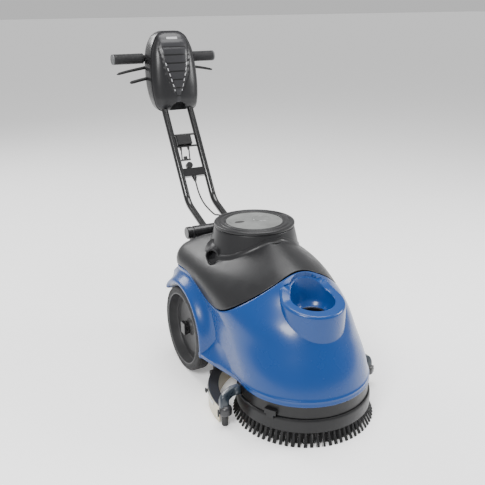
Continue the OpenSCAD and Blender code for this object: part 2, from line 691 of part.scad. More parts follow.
// Tube swept along a list of points.
function ring_at(path, i, r, n) =
  let (a = path[max(i - 1, 0)], b = path[min(i + 1, len(path) - 1)], t = (b - a) / norm(b - a),
       u = cross(t, [1, 0, 0]), v = abs(t[0]) > 0.9 ? cross(t, [0, 1, 0]) : u,
       e = v / norm(v), f = cross(t, e))
  [for (k = [0:n - 1]) path[i] + r * (cos(360 * k / n) * e + sin(360 * k / n) * f)];
module swept(path, r, n = 10) {
  m = len(path);
  points = [for (i = [0:m - 1]) each ring_at(path, i, r, n)];
  sides = [for (i = [0:m - 2]) for (k = [0:n - 1])
    let (j = (k + 1) % n, a = i * n + k, b = i * n + j, c = a + n, d = b + n)
    each [[a, b, d], [a, d, c]]];
  polyhedron(points, concat(sides, [[for (k = [n - 1:-1:0]) k]],
    [[for (k = [0:n - 1]) (m - 1) * n + k]]), convexity = 8);
}
// Smooth curve through hand-set points.
function smooth(p, i, t) =
  let (a = p[max(i - 1, 0)], b = p[i], c = p[i + 1], d = p[min(i + 2, len(p) - 1)])
  ((2 * b) + (c - a) * t + (2 * a - 5 * b + 4 * c - d) * t * t
    + (3 * b - a - 3 * c + d) * t * t * t) / 2;
function fine(p, n) = concat([for (i = [0:len(p) - 2]) for (k = [0:n - 1]) smooth(p, i, k / n)],
  [p[len(p) - 1]]);
hose_points = [
  [0, nozzle_y + 22.2, holder_top + hose_r], [0, nozzle_y + 50, holder_top + hose_r],
  [0, 345, 62], [0, 396, 61], [0, 436, 64], [0, 460, 80], [0, 470, 110], [0, 471, 160],
  [0, 470, 215], [0, 467, 255], [0, 460, 277], [0, 447, hose_port_z - 1],
  [0, body_rear + 0.6, hose_port_z]
];
module suction_hose() color([0.14, 0.14, 0.15]) placed() swept(fine(hose_points, 3), hose_r, 12);

// ---- Handle, drawn upright in its working position ----
tube_r = tube_d / 2;
tube_x = tube_gap / 2;
low_slope = 20;                    // slope of the tubes next to the fold
bend_y = fold_y + 128;
bend_z = fold_z + 46;
grip_r = grip_d / 2;
// Slope of the tubes above the bend, towards the handlebar
high_slope = atan2(grip_z - bend_z, grip_y - bend_y);
tube_end = 0.86;                   // share of that run where the tubes end, inside the console
bend_r = 70;
foot_slope = atan2(bend_z - fold_z, bend_y - fold_y);
bend_turn = high_slope - foot_slope;
bend_cut = bend_r * tan(bend_turn / 2);
run_low = norm([bend_y - fold_y, bend_z - fold_z]) - bend_cut;
run_high = norm([grip_y - bend_y, grip_z - bend_z]) * tube_end - bend_cut;
// One bent tube of radius r in the plane x = 0: straight, bend, straight.
module bent(r, extra = 0) {
  translate([0, fold_y, fold_z]) rotate([foot_slope, 0, 0]) {
    translate([0, -extra, 0]) rotate([-90, 0, 0]) cylinder(r = r, h = run_low + extra);
    translate([0, run_low, bend_r]) rotate([0, 90, 0]) rotate_extrude(angle = bend_turn)
      translate([bend_r, 0]) circle(r = r);
    translate([0, run_low, bend_r]) rotate([bend_turn, 0, 0]) translate([0, 0, -bend_r])
      rotate([-90, 0, 0]) cylinder(r = r, h = run_high);
  }
}
barrel_r = barrel_d / 2;
barrel_half = bracket_x - air;
module handle_tubes() color([0.05, 0.05, 0.05]) placed() difference() {
  mirrored() translate([tube_x, 0, 0]) bent(tube_r);
  mirrored() translate([tube_x, 0, 0]) bent(tube_r - 2, 1);
  translate([0, fold_y, fold_z]) rotate([0, 90, 0]) cylinder(r = barrel_r, h = 400, center = true);
}
module fold_barrel() color([0.16, 0.16, 0.17]) placed() translate([0, fold_y, fold_z])
  rotate([0, 90, 0]) difference() {
    cylinder(r = barrel_r, h = 2 * barrel_half, center = true);
    cylinder(r = pin_r + fit, h = 400, center = true);
  }
// Frame of the slanted stretch: u runs up along it from the bend, v stands off its front.
module on_slope(u) {
  translate([0, bend_y + u * cos(high_slope), bend_z + u * sin(high_slope)])
    rotate([high_slope, 0, 0]) children();
}
brace_r = 3.5;
brace_low = 96;
box_from = 186;
box_to = 217;
module tube_voids() mirrored() translate([tube_x, 0, 0]) bent(tube_r);
module cross_braces() color([0.06, 0.06, 0.07]) placed() difference() {
  union() {
    on_slope(box_from - brace_r) rotate([0, 90, 0])
      cylinder(r = brace_r, h = tube_gap - 12, center = true);
    on_slope(box_to + brace_r) rotate([0, 90, 0])
      cylinder(r = brace_r, h = tube_gap - 12, center = true);
    on_slope(brace_low - 13) translate([-tube_x + 4, 0, -7]) cube([tube_gap - 8, 26, 14]);
  }
  tube_voids();
}
strip_run = 47;
module cable_box() color([0.12, 0.12, 0.12]) placed() on_slope(box_from) {
  translate([-30, 0.2, -10]) cube([46, box_to - box_from - 0.4, 20]);
  // two strips down to a short cross bar with a clip
  for (x = [-21, 4]) {
    translate([x - 2, -2 * brace_r - 6, -9]) cube([4, 2 * brace_r + 7, 5.2]);
    translate([x - 2, -2 * brace_r - 6, -9]) cube([4, 5, 11]);
    rod([x, -2 * brace_r - 3, 0], [x - 7, -strip_run, 2.8], 2);
  }
  translate([-31, -strip_run - 4, 0]) cube([30, 4, 6]);
  translate([-20, -strip_run, -4]) cube([10, 10, 8]);
}
gland_r = 10;
module cable_gland() color([0.16, 0.16, 0.17]) placed() {
  on_slope(brace_low + 13.2) translate([-9, gland_r, 0])
    rotate([0, 0, 0]) cylinder(r = gland_r, h = 12, center = true);
  on_slope(brace_low - 13.2) translate([-2, 0, 0]) rotate([90, 0, 0]) {
    cylinder(r = 7, h = 7);
    cylinder(r = 5, h = 14);
  }
}
cable_r = 2.5;
gland_u = brace_low - 13.2 - 15;
cable_points = [
  [-2, bend_y + gland_u * cos(high_slope), bend_z + gland_u * sin(high_slope)],
  [-1, 606, 404], [2, 596, 388], [5, 578, 374], [6, 552, 366], [4, 522, 363], [1, 494, 364],
  [0, fold_y + 8, inlet_z + 13], [0, fold_y - 8, inlet_z + 15], [0, strip_y + 4, inlet_z + 12],
  [0, strip_y + 1, inlet_z + 8], [0, strip_y + 1, inlet_z + 4.3]
];
module handle_cable() color([0.05, 0.05, 0.05]) placed() swept(fine(cable_points, 4), cable_r, 8);

// Console: rounded outlines stacked by height, each with half width, front and back.
console = [
  [634, 58, 752, 796], [646, 66, 742, 812], [664, 71, 738, 828], [700, 75, 739, 846],
  [740, 75, 744, 857], [780, 72, 751, 864], [815, 66, 760, 866], [840, 56, 770, 861],
  [856, 46, 781, 850], [868, 30, 796, 834]
];
console_wall = 3;
console_n = 36;
module console_solid(t) {
  n = console_n;
  rings = [for (c = console) let (y0 = (c[2] + c[3]) / 2, z = c[0])
    [for (k = [0:n - 1]) let (a = (k + 0.5) * 360 / n, u = cos(a), v = sin(a),
       q = pow(pow(abs(u), 3.6) + pow(abs(v), 3.6), -1 / 3.6))
      [(c[1] - t) * q * u, y0 + ((c[3] - c[2]) / 2 - t) * q * v,
       z == console[0][0] ? z + t : z == console[len(console) - 1][0] ? z - t : z]]];
  points = [for (r = rings) each r];
  sides = [for (i = [0:len(rings) - 2]) for (k = [0:n - 1])
    let (j = (k + 1) % n, a = i * n + k, b = i * n + j, c = a + n, d = b + n)
    each [[a, c, d], [a, d, b]]];
  polyhedron(points, concat(sides, [[for (k = [0:n - 1]) k]],
    [[for (k = [n - 1:-1:0]) (len(rings) - 1) * n + k]]), convexity = 6);
}
// The mask covers the front of the console; the joint leans back with it.
module mask_side(gap) {
  translate([0, 760 + gap, 634]) rotate([-8, 0, 0]) translate([-150, -200, -60])
    cube([300, 200, 400]);
}
// Flat panel that faces the person pushing: its frame, local Z pointing out of it
panel_y = 854;
panel_z = 834;
panel_tilt = 67.6;
module on_panel() translate([0, panel_y, panel_z]) rotate([-panel_tilt, 0, 0]) children();
module outside_panel(depth) on_panel() translate([-100, -100, -depth]) cube([200, 200, 60]);
bar_r = 11;
module grip_space(r) translate([0, grip_y, grip_z]) rotate([0, 90, 0])
  cylinder(r = r, h = bar_len + 20, center = true);
switch_w = 24;
switch_l = 18;
switch_x = 32;
gauge_w = 26;
gauge_l = 16;
paddle_x = 60;
paddle_y = 815;
paddle_z = 731;
module console_shell() color([0.14, 0.14, 0.15]) placed() {
  difference() {
    console_solid(0);
    difference() {
      console_solid(console_wall);
      outside_panel(console_wall);
      // cheeks that carry the pin of the squeegee paddle
      for (s = [-1, 1]) translate([-76, paddle_y + s * 11 - 2, paddle_z - 8])
        cube([22.5, 4, 16]);
    }
    outside_panel(0);
    mask_side(0.3);
    mirrored() translate([tube_x, 0, 0]) bent(tube_r + fit);
    grip_space(bar_r + fit);
    // slots of the levers and of the paddle
    mirrored() translate([50, lever_y - 9, lever_z - 12]) cube([50, 18, 22]);
    translate([-100, paddle_y - 8.6, paddle_z - 9]) cube([50, 17.2, 26]);
    for (s = [-1, 1]) on_panel() translate([s * switch_x, 0, 0])
      cube([switch_w + 1, switch_l + 1, 14], center = true);
    on_panel() cube([gauge_w, gauge_l, 14], center = true);
  }
  translate([-paddle_x, paddle_y - 13, paddle_z]) rotate([-90, 0, 0]) cylinder(r = 2, h = 26);
}
module console_mask() color([0.10, 0.10, 0.11]) placed() difference() {
  console_solid(0);
  difference() {
    console_solid(console_wall);
    outside_panel(console_wall);
  }
  translate([0, 760, 634]) rotate([-8, 0, 0]) translate([-150, 0, -60]) cube([300, 200, 400]);
  mirrored() translate([tube_x, 0, 0]) bent(tube_r + fit);
  // arched cut between the tubes
  translate([0, 800, 634]) rotate([90, 0, 0]) cylinder(r = 24, h = 100);
}
lever_x = 56;
lever_y = grip_y - 10;
lever_z = grip_z - grip_r - 9;
lever_fall = 10;                   // degrees that a lever hangs below its grip
lever_w = 15;
module handlebar() color([0.10, 0.10, 0.10]) placed() {
  difference() {
    translate([0, grip_y, grip_z]) rotate([0, 90, 0])
      cylinder(r = bar_r, h = bar_len - 6, center = true);
    translate([0, grip_y, grip_z]) rotate([0, 90, 0])
      cylinder(r = bar_r - 2, h = bar_len, center = true);
  }
  // hangers of the brush levers, inside the console
  mirrored() {
    translate([lever_x - 6, lever_y - 18, lever_z - 6]) cube([12, 8, grip_z - lever_z - 2]);
    translate([lever_x - 6, lever_y - 18, grip_z - 14]) cube([12, 18, 6]);
    translate([lever_x, lever_y - 12, lever_z]) rotate([-90, 0, 0]) cylinder(r = 2, h = 12 + lever_w / 2);
  }
}
grip_from = 71;
module grips() color([0.06, 0.06, 0.06]) placed() mirrored()
  translate([grip_from, grip_y, grip_z]) rotate([0, 90, 0]) difference() {
    union() {
      cylinder(r = grip_r, h = bar_len / 2 - grip_from - 3);
      translate([0, 0, bar_len / 2 - grip_from - 3]) cylinder(r = grip_r - 1.5, h = 3);
    }
    translate([0, 0, -1]) cylinder(r = bar_r + fit, h = bar_len / 2 - grip_from - 2);
  }
// Brush levers: each hinges on a pin in the console and is squeezed up to its grip.
lever_reach = bar_len / 2 - 10 - lever_x;
module lever() difference() {
  translate([lever_x, lever_y, lever_z]) rotate([0, lever_fall, 0]) union() {
    rotate([90, 0, 0]) cylinder(r = 5, h = lever_w, center = true);
    translate([0, -lever_w / 2, -2.5]) cube([lever_reach, lever_w, 5]);
    translate([lever_reach, 0, 0]) rotate([90, 0, 0]) cylinder(r = 2.5, h = lever_w, center = true);
    translate([18, -lever_w / 2, -4]) cube([lever_reach - 26, 3, 4]);
    translate([18, lever_w / 2 - 3, -4]) cube([lever_reach - 26, 3, 4]);
  }
  translate([lever_x, lever_y, lever_z]) rotate([90, 0, 0]) cylinder(r = 2 + fit, h = 60, center = true);
}
module left_lever() color([0.08, 0.08, 0.09]) placed() mirror([1, 0, 0]) lever();
module right_lever() color([0.08, 0.08, 0.09]) placed() lever();
// Paddle that lifts and lowers the squeegee
paddle_len = 68;
paddle_fall = 11;
paddle_w = 16;
module squeegee_lever() color([0.09, 0.09, 0.10]) placed() difference() {
  translate([-paddle_x, paddle_y, paddle_z]) rotate([0, -paddle_fall, 0]) union() {
    rotate([90, 0, 0]) cylinder(r = 5, h = paddle_w, center = true);
    translate([-paddle_len + 10, -5, -3]) cube([paddle_len - 10, 10, 6]);
    translate([-paddle_len, -paddle_w / 2, -3]) cube([34, paddle_w, 6]);
    translate([-paddle_len, 0, 0]) rotate([90, 0, 0]) cylinder(r = 3, h = paddle_w, center = true);
  }
  translate([-paddle_x, paddle_y, paddle_z]) rotate([90, 0, 0]) cylinder(r = 2 + fit, h = 60, center = true);
}
module rocker(x) on_panel() translate([x, 0, -2]) difference() {
  union() {
    rotate([0, 90, 0]) cylinder(r = 4.5, h = switch_w, center = true);
    translate([-switch_w / 2, -switch_l / 2 + 1, 0]) cube([switch_w, switch_l - 2, 4]);
  }
  translate([0, 0, 11.4]) rotate([0, 90, 0]) cylinder(r = 9, h = switch_w + 2, center = true);
}
module power_switch() color([0.10, 0.35, 0.20]) placed() rocker(-switch_x);
module vacuum_switch() color([0.14, 0.14, 0.15]) placed() rocker(switch_x);
module battery_gauge() color([0.10, 0.13, 0.12]) placed() on_panel() {
  translate([-gauge_w / 2, -gauge_l / 2, -console_wall]) cube([gauge_w, gauge_l, console_wall + 1]);
  translate([-gauge_w / 2 + 2, -gauge_l / 2 + 2, 1]) cube([gauge_w - 4, gauge_l - 4, 0.6]);
}

brush_deck();
base_frame();
solution_tank();
filler_cup();
left_arch();
right_arch();
filler_strainer();
solution_feed();
brush_motor();
gearbox();
batteries();
vacuum_motor();
control_module();
axle();
handle_brackets();
bracket_bolts();
fold_pin();
recovery_tank();
float_cage();
float_ball();
lid_seal();
lid_ring();
lid_window();
left_tyre();
right_tyre();
left_wheel_disc();
right_wheel_disc();
left_hub_cap();
right_hub_cap();
brush_block();
brush_bristles();
drive_plate();
drive_shaft();
squeegee_holder();
front_blade();
rear_blade();
blade_strap();
wing_nuts();
suction_nozzle();
suction_hose();
left_roller();
right_roller();
left_castor();
right_castor();
handle_tubes();
fold_barrel();
cross_braces();
cable_box();
cable_gland();
handle_cable();
console_shell();
console_mask();
handlebar();
grips();
left_lever();
right_lever();
squeegee_lever();
power_switch();
vacuum_switch();
battery_gauge();
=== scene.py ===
"""Looks of a walk-behind floor scrubber, laid over its fixed mechanical model, as an add-on."""
import math

import bpy
import numpy as np
from mathutils import Matrix


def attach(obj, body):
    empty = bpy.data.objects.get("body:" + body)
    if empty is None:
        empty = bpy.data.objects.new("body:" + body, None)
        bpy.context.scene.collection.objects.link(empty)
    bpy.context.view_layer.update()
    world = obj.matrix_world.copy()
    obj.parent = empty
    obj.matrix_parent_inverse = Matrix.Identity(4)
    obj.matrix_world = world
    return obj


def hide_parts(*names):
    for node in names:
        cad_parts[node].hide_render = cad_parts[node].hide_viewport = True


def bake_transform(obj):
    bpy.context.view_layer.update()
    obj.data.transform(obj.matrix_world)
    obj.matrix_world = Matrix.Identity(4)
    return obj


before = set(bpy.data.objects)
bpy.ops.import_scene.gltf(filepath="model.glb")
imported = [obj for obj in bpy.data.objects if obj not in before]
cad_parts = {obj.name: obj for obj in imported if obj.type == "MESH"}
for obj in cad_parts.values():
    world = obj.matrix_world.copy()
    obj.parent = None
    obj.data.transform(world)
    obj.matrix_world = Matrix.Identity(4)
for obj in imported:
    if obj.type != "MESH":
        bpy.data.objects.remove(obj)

bl_info = {
    "name": "Floor Scrubber Looks",
    "version": (1, 0, 0),
    "blender": (4, 5, 0),
    "location": "View3D > Sidebar > Scrubber",
    "description": "Builds the surfaces, materials and stage of a floor scrubber",
    "category": "Object",
}

MM = 0.001
BRUSH_Y = -348.0  # the brush axis in the shared frame, in mm; every y below is counted from it
TAU = 2 * math.pi


# ------------------------------------------------------------------ settings
def length(name, value, text, low=0.0, high=2.0):
    """A length property in metres."""
    return bpy.props.FloatProperty(name=name, description=text, default=value, min=low, max=high,
                                   unit="LENGTH", precision=4)


def colour(name, value, text):
    """A colour property, linear RGB with alpha."""
    return bpy.props.FloatVectorProperty(name=name, description=text, default=(*value, 1.0),
                                         size=4, min=0.0, max=1.0, subtype="COLOR")


class ScrubberSizes(bpy.types.PropertyGroup):
    """Sizes of the surfaces that are drawn over the mechanical model."""
    lip: length("Tank lip", 0.0026, "Radius of the rolled edge along the parting line")
    wall: length("Tank wall", 0.004, "Wall of the moulded tanks")
    cup_round: length("Cup rounding", 0.007, "Rounding of the filler cup's outer rim")
    fender_fillet: length("Fender fillet", 0.023, "Reach of the fillet between fender and flank")
    dome_fillet: length("Dome fillet", 0.009, "Fillet where the dome meets the tank")
    tuft: length("Tuft radius", 0.0021, "Radius of one bristle tuft at its root")
    groove: length("Tread groove", 0.0016, "Depth of the grooves round the tyre")
    rib: length("Console rib", 0.0040, "Height of the ribs on the console's front")
    grip_rib: length("Grip rib", 0.0005, "Depth of the fine rings on the grips")


class ScrubberColours(bpy.types.PropertyGroup):
    """Base colours of the machine's materials."""
    blue: colour("Blue plastic", (0.0004, 0.036, 0.165), "Solution tank")
    charcoal: colour("Charcoal plastic", (0.0125, 0.0125, 0.0135), "Recovery tank")
    console: colour("Console plastic", (0.0085, 0.0085, 0.0095), "Console")
    black: colour("Black plastic", (0.006, 0.006, 0.0065), "Small moulded parts")
    paint: colour("Black paint", (0.004, 0.004, 0.0045), "Handle tubes")
    tyre: colour("Tyre", (0.014, 0.014, 0.0145), "Tyres")
    wheel: colour("Wheel", (0.030, 0.030, 0.031), "Wheel discs")
    window: colour("Window", (0.17, 0.175, 0.17), "Clear disc in the lid")
    blade: colour("Blade", (0.56, 0.49, 0.37), "Squeegee blades")
    bristle: colour("Bristle", (0.0045, 0.0045, 0.005), "Brush tufts")
    floor: colour("Floor", (0.93, 0.93, 0.93), "Studio floor")


# ------------------------------------------------------------------ mesh helpers
def place(p):
    """Points in mm from the brush axis to metres in the shared frame."""
    p = np.asarray(p, float).reshape(-1, 3).copy()
    p[:, 1] += BRUSH_Y
    return p * MM


def build(name, points, faces, body, material, stands=(), sharp=38.0):
    """One mesh object from an array of points and lists of quads and triangles, riding on a body."""
    mesh = bpy.data.meshes.new(name)
    loops = np.concatenate([np.asarray(f, np.int64).ravel() for f in faces])
    sizes = np.concatenate([np.full(len(f), np.asarray(f).shape[1], np.int64) for f in faces])
    starts = np.concatenate([[0], np.cumsum(sizes)[:-1]])
    points = place(points)
    mesh.vertices.add(len(points))
    mesh.vertices.foreach_set("co", points.ravel().astype(np.float32))
    mesh.loops.add(len(loops))
    mesh.loops.foreach_set("vertex_index", loops.astype(np.int32))
    mesh.polygons.add(len(sizes))
    mesh.polygons.foreach_set("loop_start", starts.astype(np.int32))
    mesh.polygons.foreach_set("use_smooth", np.ones(len(sizes), bool))
    mesh.update(calc_edges=True)
    mesh.validate()
    mesh.set_sharp_from_angle(angle=math.radians(sharp))
    mesh.materials.append(material)
    obj = bpy.data.objects.new(name, mesh)
    bpy.context.scene.collection.objects.link(obj)
    if body:
        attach(obj, body)
    if stands:
        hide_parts(*stands)
    return obj


def weave(m, n, loop_u=False, loop_v=True, start=0, flip=False):
    """Quads of an m by n grid of points. loop_u joins the last row to the first; loop_v the columns."""
    u = np.arange(m if loop_u else m - 1)
    v = np.arange(n if loop_v else n - 1)
    a, b = np.meshgrid(u, v, indexing="ij")
    c, d = (a + 1) % m, (b + 1) % n
    q = np.stack([a * n + b, a * n + d, c * n + d, c * n + b], -1).reshape(-1, 4) + start
    return q[:, ::-1] if flip else q


def fan(ring, centre, flip=False):
    """Triangles from a ring of point numbers to one centre point."""
    ring = np.asarray(ring)
    t = np.stack([ring, np.roll(ring, -1), np.full(len(ring), centre)], -1)
    return t[:, ::-1] if flip else t


class Bag:
    """Points and faces of several closed surfaces that make one piece."""

    def __init__(self):
        self.points, self.quads, self.tris, self.count = [], [], [], 0

    def add(self, points, quads=None, tris=None):
        """Adds one surface, with its faces numbered from its own first point."""
        points = np.asarray(points, float).reshape(-1, 3)
        if quads is not None and len(quads):
            self.quads.append(np.asarray(quads) + self.count)
        if tris is not None and len(tris):
            self.tris.append(np.asarray(tris) + self.count)
        self.points.append(points)
        self.count += len(points)
        return self

    def tube(self, grid, loop_u=False, ends=True):
        """A grid of rings, closed round, with fans at both ends; faces point outward."""
        m, n = grid.shape[:2]
        pts = grid.reshape(-1, 3)
        quads = weave(m, n, loop_u)
        tris = None
        if ends and not loop_u:
            pts = np.vstack([pts, grid[0].mean(0), grid[-1].mean(0)])
            tris = np.vstack([fan(np.arange(n), m * n, True),
                              fan(np.arange(n) + (m - 1) * n, m * n + 1)])
        if volume(pts, quads, tris) < 0:
            quads = quads[:, ::-1]
            tris = None if tris is None else tris[:, ::-1]
        return self.add(pts, quads, tris)

    def mirror(self):
        """Adds the mirror image across x = 0 of everything so far."""
        pts = np.vstack(self.points) * [-1, 1, 1]
        quads = np.vstack(self.quads)[:, ::-1] if self.quads else None
        tris = np.vstack(self.tris)[:, ::-1] if self.tris else None
        return self.add(pts, quads, tris)

    def piece(self, name, body, slot, material, stands=(), sharp=38.0):
        """Makes one mesh object of everything in the bag."""
        faces = [np.vstack(kind) for kind in (self.quads, self.tris) if kind]
        return build(name, np.vstack(self.points), faces, body, material, stands, sharp)


def volume(pts, quads, tris):
    """Signed volume of a closed surface."""
    t = [quads[:, [0, 1, 2]], quads[:, [0, 2, 3]]]
    if tris is not None:
        t.append(tris)
    t = np.vstack(t)
    a, b, c = pts[t[:, 0]], pts[t[:, 1]], pts[t[:, 2]]
    return float(np.einsum("ij,ij->i", a, np.cross(b, c)).sum())


def spin(profile, n, centre, axis="z"):
    """Surface of revolution: profile rows of (radius, height) turned about an axis through centre."""
    profile = np.asarray(profile, float)
    a = np.arange(n) * TAU / n
    r, h = profile[:, 0][:, None], profile[:, 1][:, None]
    c, s = np.cos(a)[None], np.sin(a)[None]
    flat = {"z": (r * c, r * s, h + 0 * c), "x": (h + 0 * c, r * c, r * s),
            "y": (r * s, h + 0 * c, r * c)}[axis]
    return np.stack(flat, -1) + np.asarray(centre, float)


def smooth(low, high, x):
    """Smooth step from 0 at low to 1 at high."""
    t = np.clip((np.asarray(x, float) - low) / (high - low), 0, 1)
    return t * t * (3 - 2 * t)


def hermite(t, h, start, end, start_slope, end_slope):
    """Cubic over a step h from start to end at the fraction t, with a slope at each end."""
    return ((2 * t**3 - 3 * t**2 + 1) * start + (t**3 - 2 * t**2 + t) * h * start_slope
            + (3 * t**2 - 2 * t**3) * end + (t**3 - t**2) * h * end_slope)


def curve(points, n):
    """Smooth curve of n points through a list of points, by chord-length cubic interpolation."""
    p = np.asarray(points, float)
    d = np.concatenate([[0], np.cumsum(np.linalg.norm(np.diff(p, axis=0), axis=1))])
    m = np.gradient(p, d, axis=0)
    t = np.linspace(0, d[-1], n)
    i = np.clip(np.searchsorted(d, t, side="right") - 1, 0, len(d) - 2)
    h = (d[i + 1] - d[i])[:, None]
    return hermite((t - d[i])[:, None] / h, h, p[i], p[i + 1], m[i], m[i + 1])


def sweep(path, outline, up=(1.0, 0.0, 0.0)):
    """Rings of an outline of (side, lift) pairs carried along a path; outline may vary by ring."""
    t = np.gradient(path, axis=0)
    t /= np.linalg.norm(t, axis=1, keepdims=True)
    up = np.broadcast_to(np.asarray(up, float), path.shape)
    e = up - t * np.einsum("ij,ij->i", up, t)[:, None]
    e /= np.linalg.norm(e, axis=1, keepdims=True)
    f = np.cross(t, e)
    outline = np.broadcast_to(outline, (len(path), *np.shape(outline)[-2:]))
    return path[:, None] + outline[..., :1] * e[:, None] + outline[..., 1:] * f[:, None]


def oval(n, a, b, power=2.0):
    """Closed outline of a rounded box of half sizes a and b."""
    t = (np.arange(n) + 0.5) * TAU / n
    c, s = np.cos(t), np.sin(t)
    q = (np.abs(c) ** power + np.abs(s) ** power) ** (-1 / power)
    return np.stack([a * q * c, b * q * s], -1)


# ------------------------------------------------------------------ places, in mm
HALF, FRONT, REAR = 163.0, 160.0, 434.0  # half width of the body, and its reach forward and back
FOOT_Z = 95.0  # height of the body's lower edge
DUCT = (189.0, 20.6)  # middle and radius of the air duct through both tanks
WHEEL = (321.0, 116.0)  # middle of the axle: its y and its height
ARCH, WELL = 124.0, 142.5  # radius of the wheel arch, and the side wall of the wheel well
BOWL_Y, BOWL_Z = -35.0, 304.0  # middle of the filler cup, and the height of its rim there
DOME_Y, MOUTH_Z = 249.5, 404.0  # middle of the dome, and the height of its mouth
LID_Z = 405.4  # underside of the lid's edge
PORT = (-127.0, 238.0, 338.0, 35.0)  # middle of the side port's face, and how far it looks forward
GRIP = (852.0, 786.0)  # middle of the handlebar: its y and its height


# ------------------------------------------------------------------ tank bodies
# Each row: height, inset at the sides, at the front and at the rear, and the y of the middle.
STATIONS = np.array([
    [95, 3, 0, 4, 0], [150, 4, 14, 3, 36], [200, 6, 36, 2, 90], [250, 0, 66, 1, 172],
    [290, 0, 106, 0, 275], [320, 20, 132, 6, 305], [345, 57, 169, 40, 280],
    [365, 89, 222, 86, 245], [386, 127, 288, 134, 205]], float)


def station(col, z):
    """Smooth curve through one column of the stations at height z."""
    k, last = STATIONS, len(STATIONS) - 1
    i = np.clip(np.searchsorted(k[:, 0], z, side="right") - 1, 0, last - 1)
    a, b = np.maximum(np.arange(last + 1) - 1, 0), np.minimum(np.arange(last + 1) + 1, last)
    m = (k[b, col] - k[a, col]) / (k[b, 0] - k[a, 0])
    h = k[i + 1, 0] - k[i, 0]
    return hermite((z - k[i, 0]) / h, h, k[i, col], k[i + 1, col], m[i], m[i + 1])


def skin(a, z, t=0.0):
    """Point of the body outline in direction a (radians) at height z, drawn in by t: a rounded
    box whose half sizes and middle follow the stations; round in front and square behind."""
    c, s = np.cos(a), np.sin(a)
    n = np.where(s < 0, 2.0, 8.0)
    r = (np.abs(c) ** n + np.abs(s) ** n) ** (-1 / n)
    mid = station(4, z)
    w = HALF - station(1, z) - t
    front, back = -FRONT + station(2, z) + t, REAR - station(3, z) - t
    y = mid + np.where(s < 0, mid - front, back - mid) * r * s
    return np.stack(np.broadcast_arrays(w * r * c, y, z), -1)


def parting(x, y):
    """Height of the line between the two tanks over a point: crest, dip and rise."""
    y = y - 18 * np.exp(-((x / 62) ** 2))
    tail = 277 - 15 * (np.maximum(y - 325, 0) / (434 - 325)) ** 2
    wave = 236 + 41 * (1 - np.cos(np.pi * (y - 165) / 160)) / 2
    rise = 236 + 114 * (np.maximum(165 - y, 0) / 165) ** 2.2
    return np.where(y > 325, tail, np.where(y > 165, wave, rise))


def climb(a, t, below):
    """Height, by halving, up to which the skin's point in direction a passes the test below."""
    lo, hi = np.full_like(a, FOOT_Z), np.full_like(a, STATIONS[-1, 0])
    for _ in range(30):
        z = (lo + hi) / 2
        under = below(skin(a, z, t))
        lo, hi = np.where(under, z, lo), np.where(under, hi, z)
    return (lo + hi) / 2


def parted(a, t=0.0):
    """Height where the skin meets the parting line in direction a."""
    return climb(a, t, lambda p: p[..., 2] < parting(p[..., 0], p[..., 1]))


def deck(ring, rise, rows=14):
    """Rings that follow the parting surface from a ring of the skin in to the air duct."""
    turn = np.arctan2(ring[:, 1] - DUCT[0], ring[:, 0])
    u = np.linspace(0, 1, rows)[1:, None]
    x = ring[:, 0] * (1 - u) + DUCT[1] * np.cos(turn) * u
    y = ring[:, 1] * (1 - u) + (DUCT[0] + DUCT[1] * np.sin(turn)) * u
    return np.stack([x, y, parting(x, y) + rise], -1)


def body_top(x, y):
    """Height of the tank's upper skin over a point in plan, by halving on height."""
    lo, hi = np.full(np.shape(x), 280.0), np.full(np.shape(x), STATIONS[-1, 0])
    for _ in range(30):
        z = (lo + hi) / 2
        mid, w = station(4, z), HALF - station(1, z)
        front, back = -FRONT + station(2, z), REAR - station(3, z)
        d = (y - mid) / np.where(y < mid, mid - front, back - mid)
        n = np.where(y < mid, 2.0, 8.0)
        inside = np.abs(x / w) ** n + np.abs(d) ** n < 1
        lo, hi = np.where(inside, z, lo), np.where(inside, hi, z)
    return (lo + hi) / 2


def directions(n):
    """Evenly spaced headings round the body, from the nose."""
    return -np.pi / 2 + (np.arange(n) + 0.5) * TAU / n


def shell(a, low, high, rows, wall, lip, foot):
    """Closed moulded shell: rounded foot, outer skin with a bead just above it, a rolled edge, the
    deck under the other tank as far as the air duct, and the inner skin back down."""
    t = np.linspace(0, 1, rows)[:, None]
    j = np.linspace(np.pi / 2, 0, 5)[:-1, None]
    base = skin(a, low + foot * (1 - np.sin(j)), foot * (1 - np.cos(j)))
    z = low + foot + (high - lip - low - foot) * t**1.25
    outer = skin(a, z, -1.5 * np.exp(-(((z - low - 13) / 2.6) ** 2)))
    k = np.linspace(0, np.pi / 2, 6)[1:, None]
    edge = skin(a, high - lip + lip * np.sin(k), lip * (1 - np.cos(k)))
    t = np.linspace(0, 1, 24)[:, None]
    inner = skin(a, (high - lip - wall) + (low + 2 - high + lip + wall) * t, wall)
    return np.concatenate([base, outer, edge, deck(edge[-1], 0.0), deck(inner[0], -wall)[::-1],
                           inner])


def wheel_side(p):
    """Presses the skin in to the flat of the wheel well wherever it lies behind the fender."""
    r = np.hypot(p[..., 1] - WHEEL[0], p[..., 2] - WHEEL[1])
    inside = (r < ARCH + 12) & (np.abs(p[..., 0]) > WELL - 14) & (p[..., 1] < REAR - 6)
    x = np.where(inside, np.sign(p[..., 0]) * np.minimum(np.abs(p[..., 0]), WELL), p[..., 0])
    return np.stack([x, p[..., 1], p[..., 2]], -1)


def under_cup(p):
    """Drops the skin below the filler cup, so that the cup's own surface shows there."""
    r = np.hypot(p[..., 0], p[..., 1] - BOWL_Y)
    hit = ((r < 53.0) | ((r < 72.0) & (p[..., 1] < 6))) & (p[..., 2] > 196)
    return np.stack([p[..., 0], p[..., 1], np.where(hit, 200.0, p[..., 2])], -1)


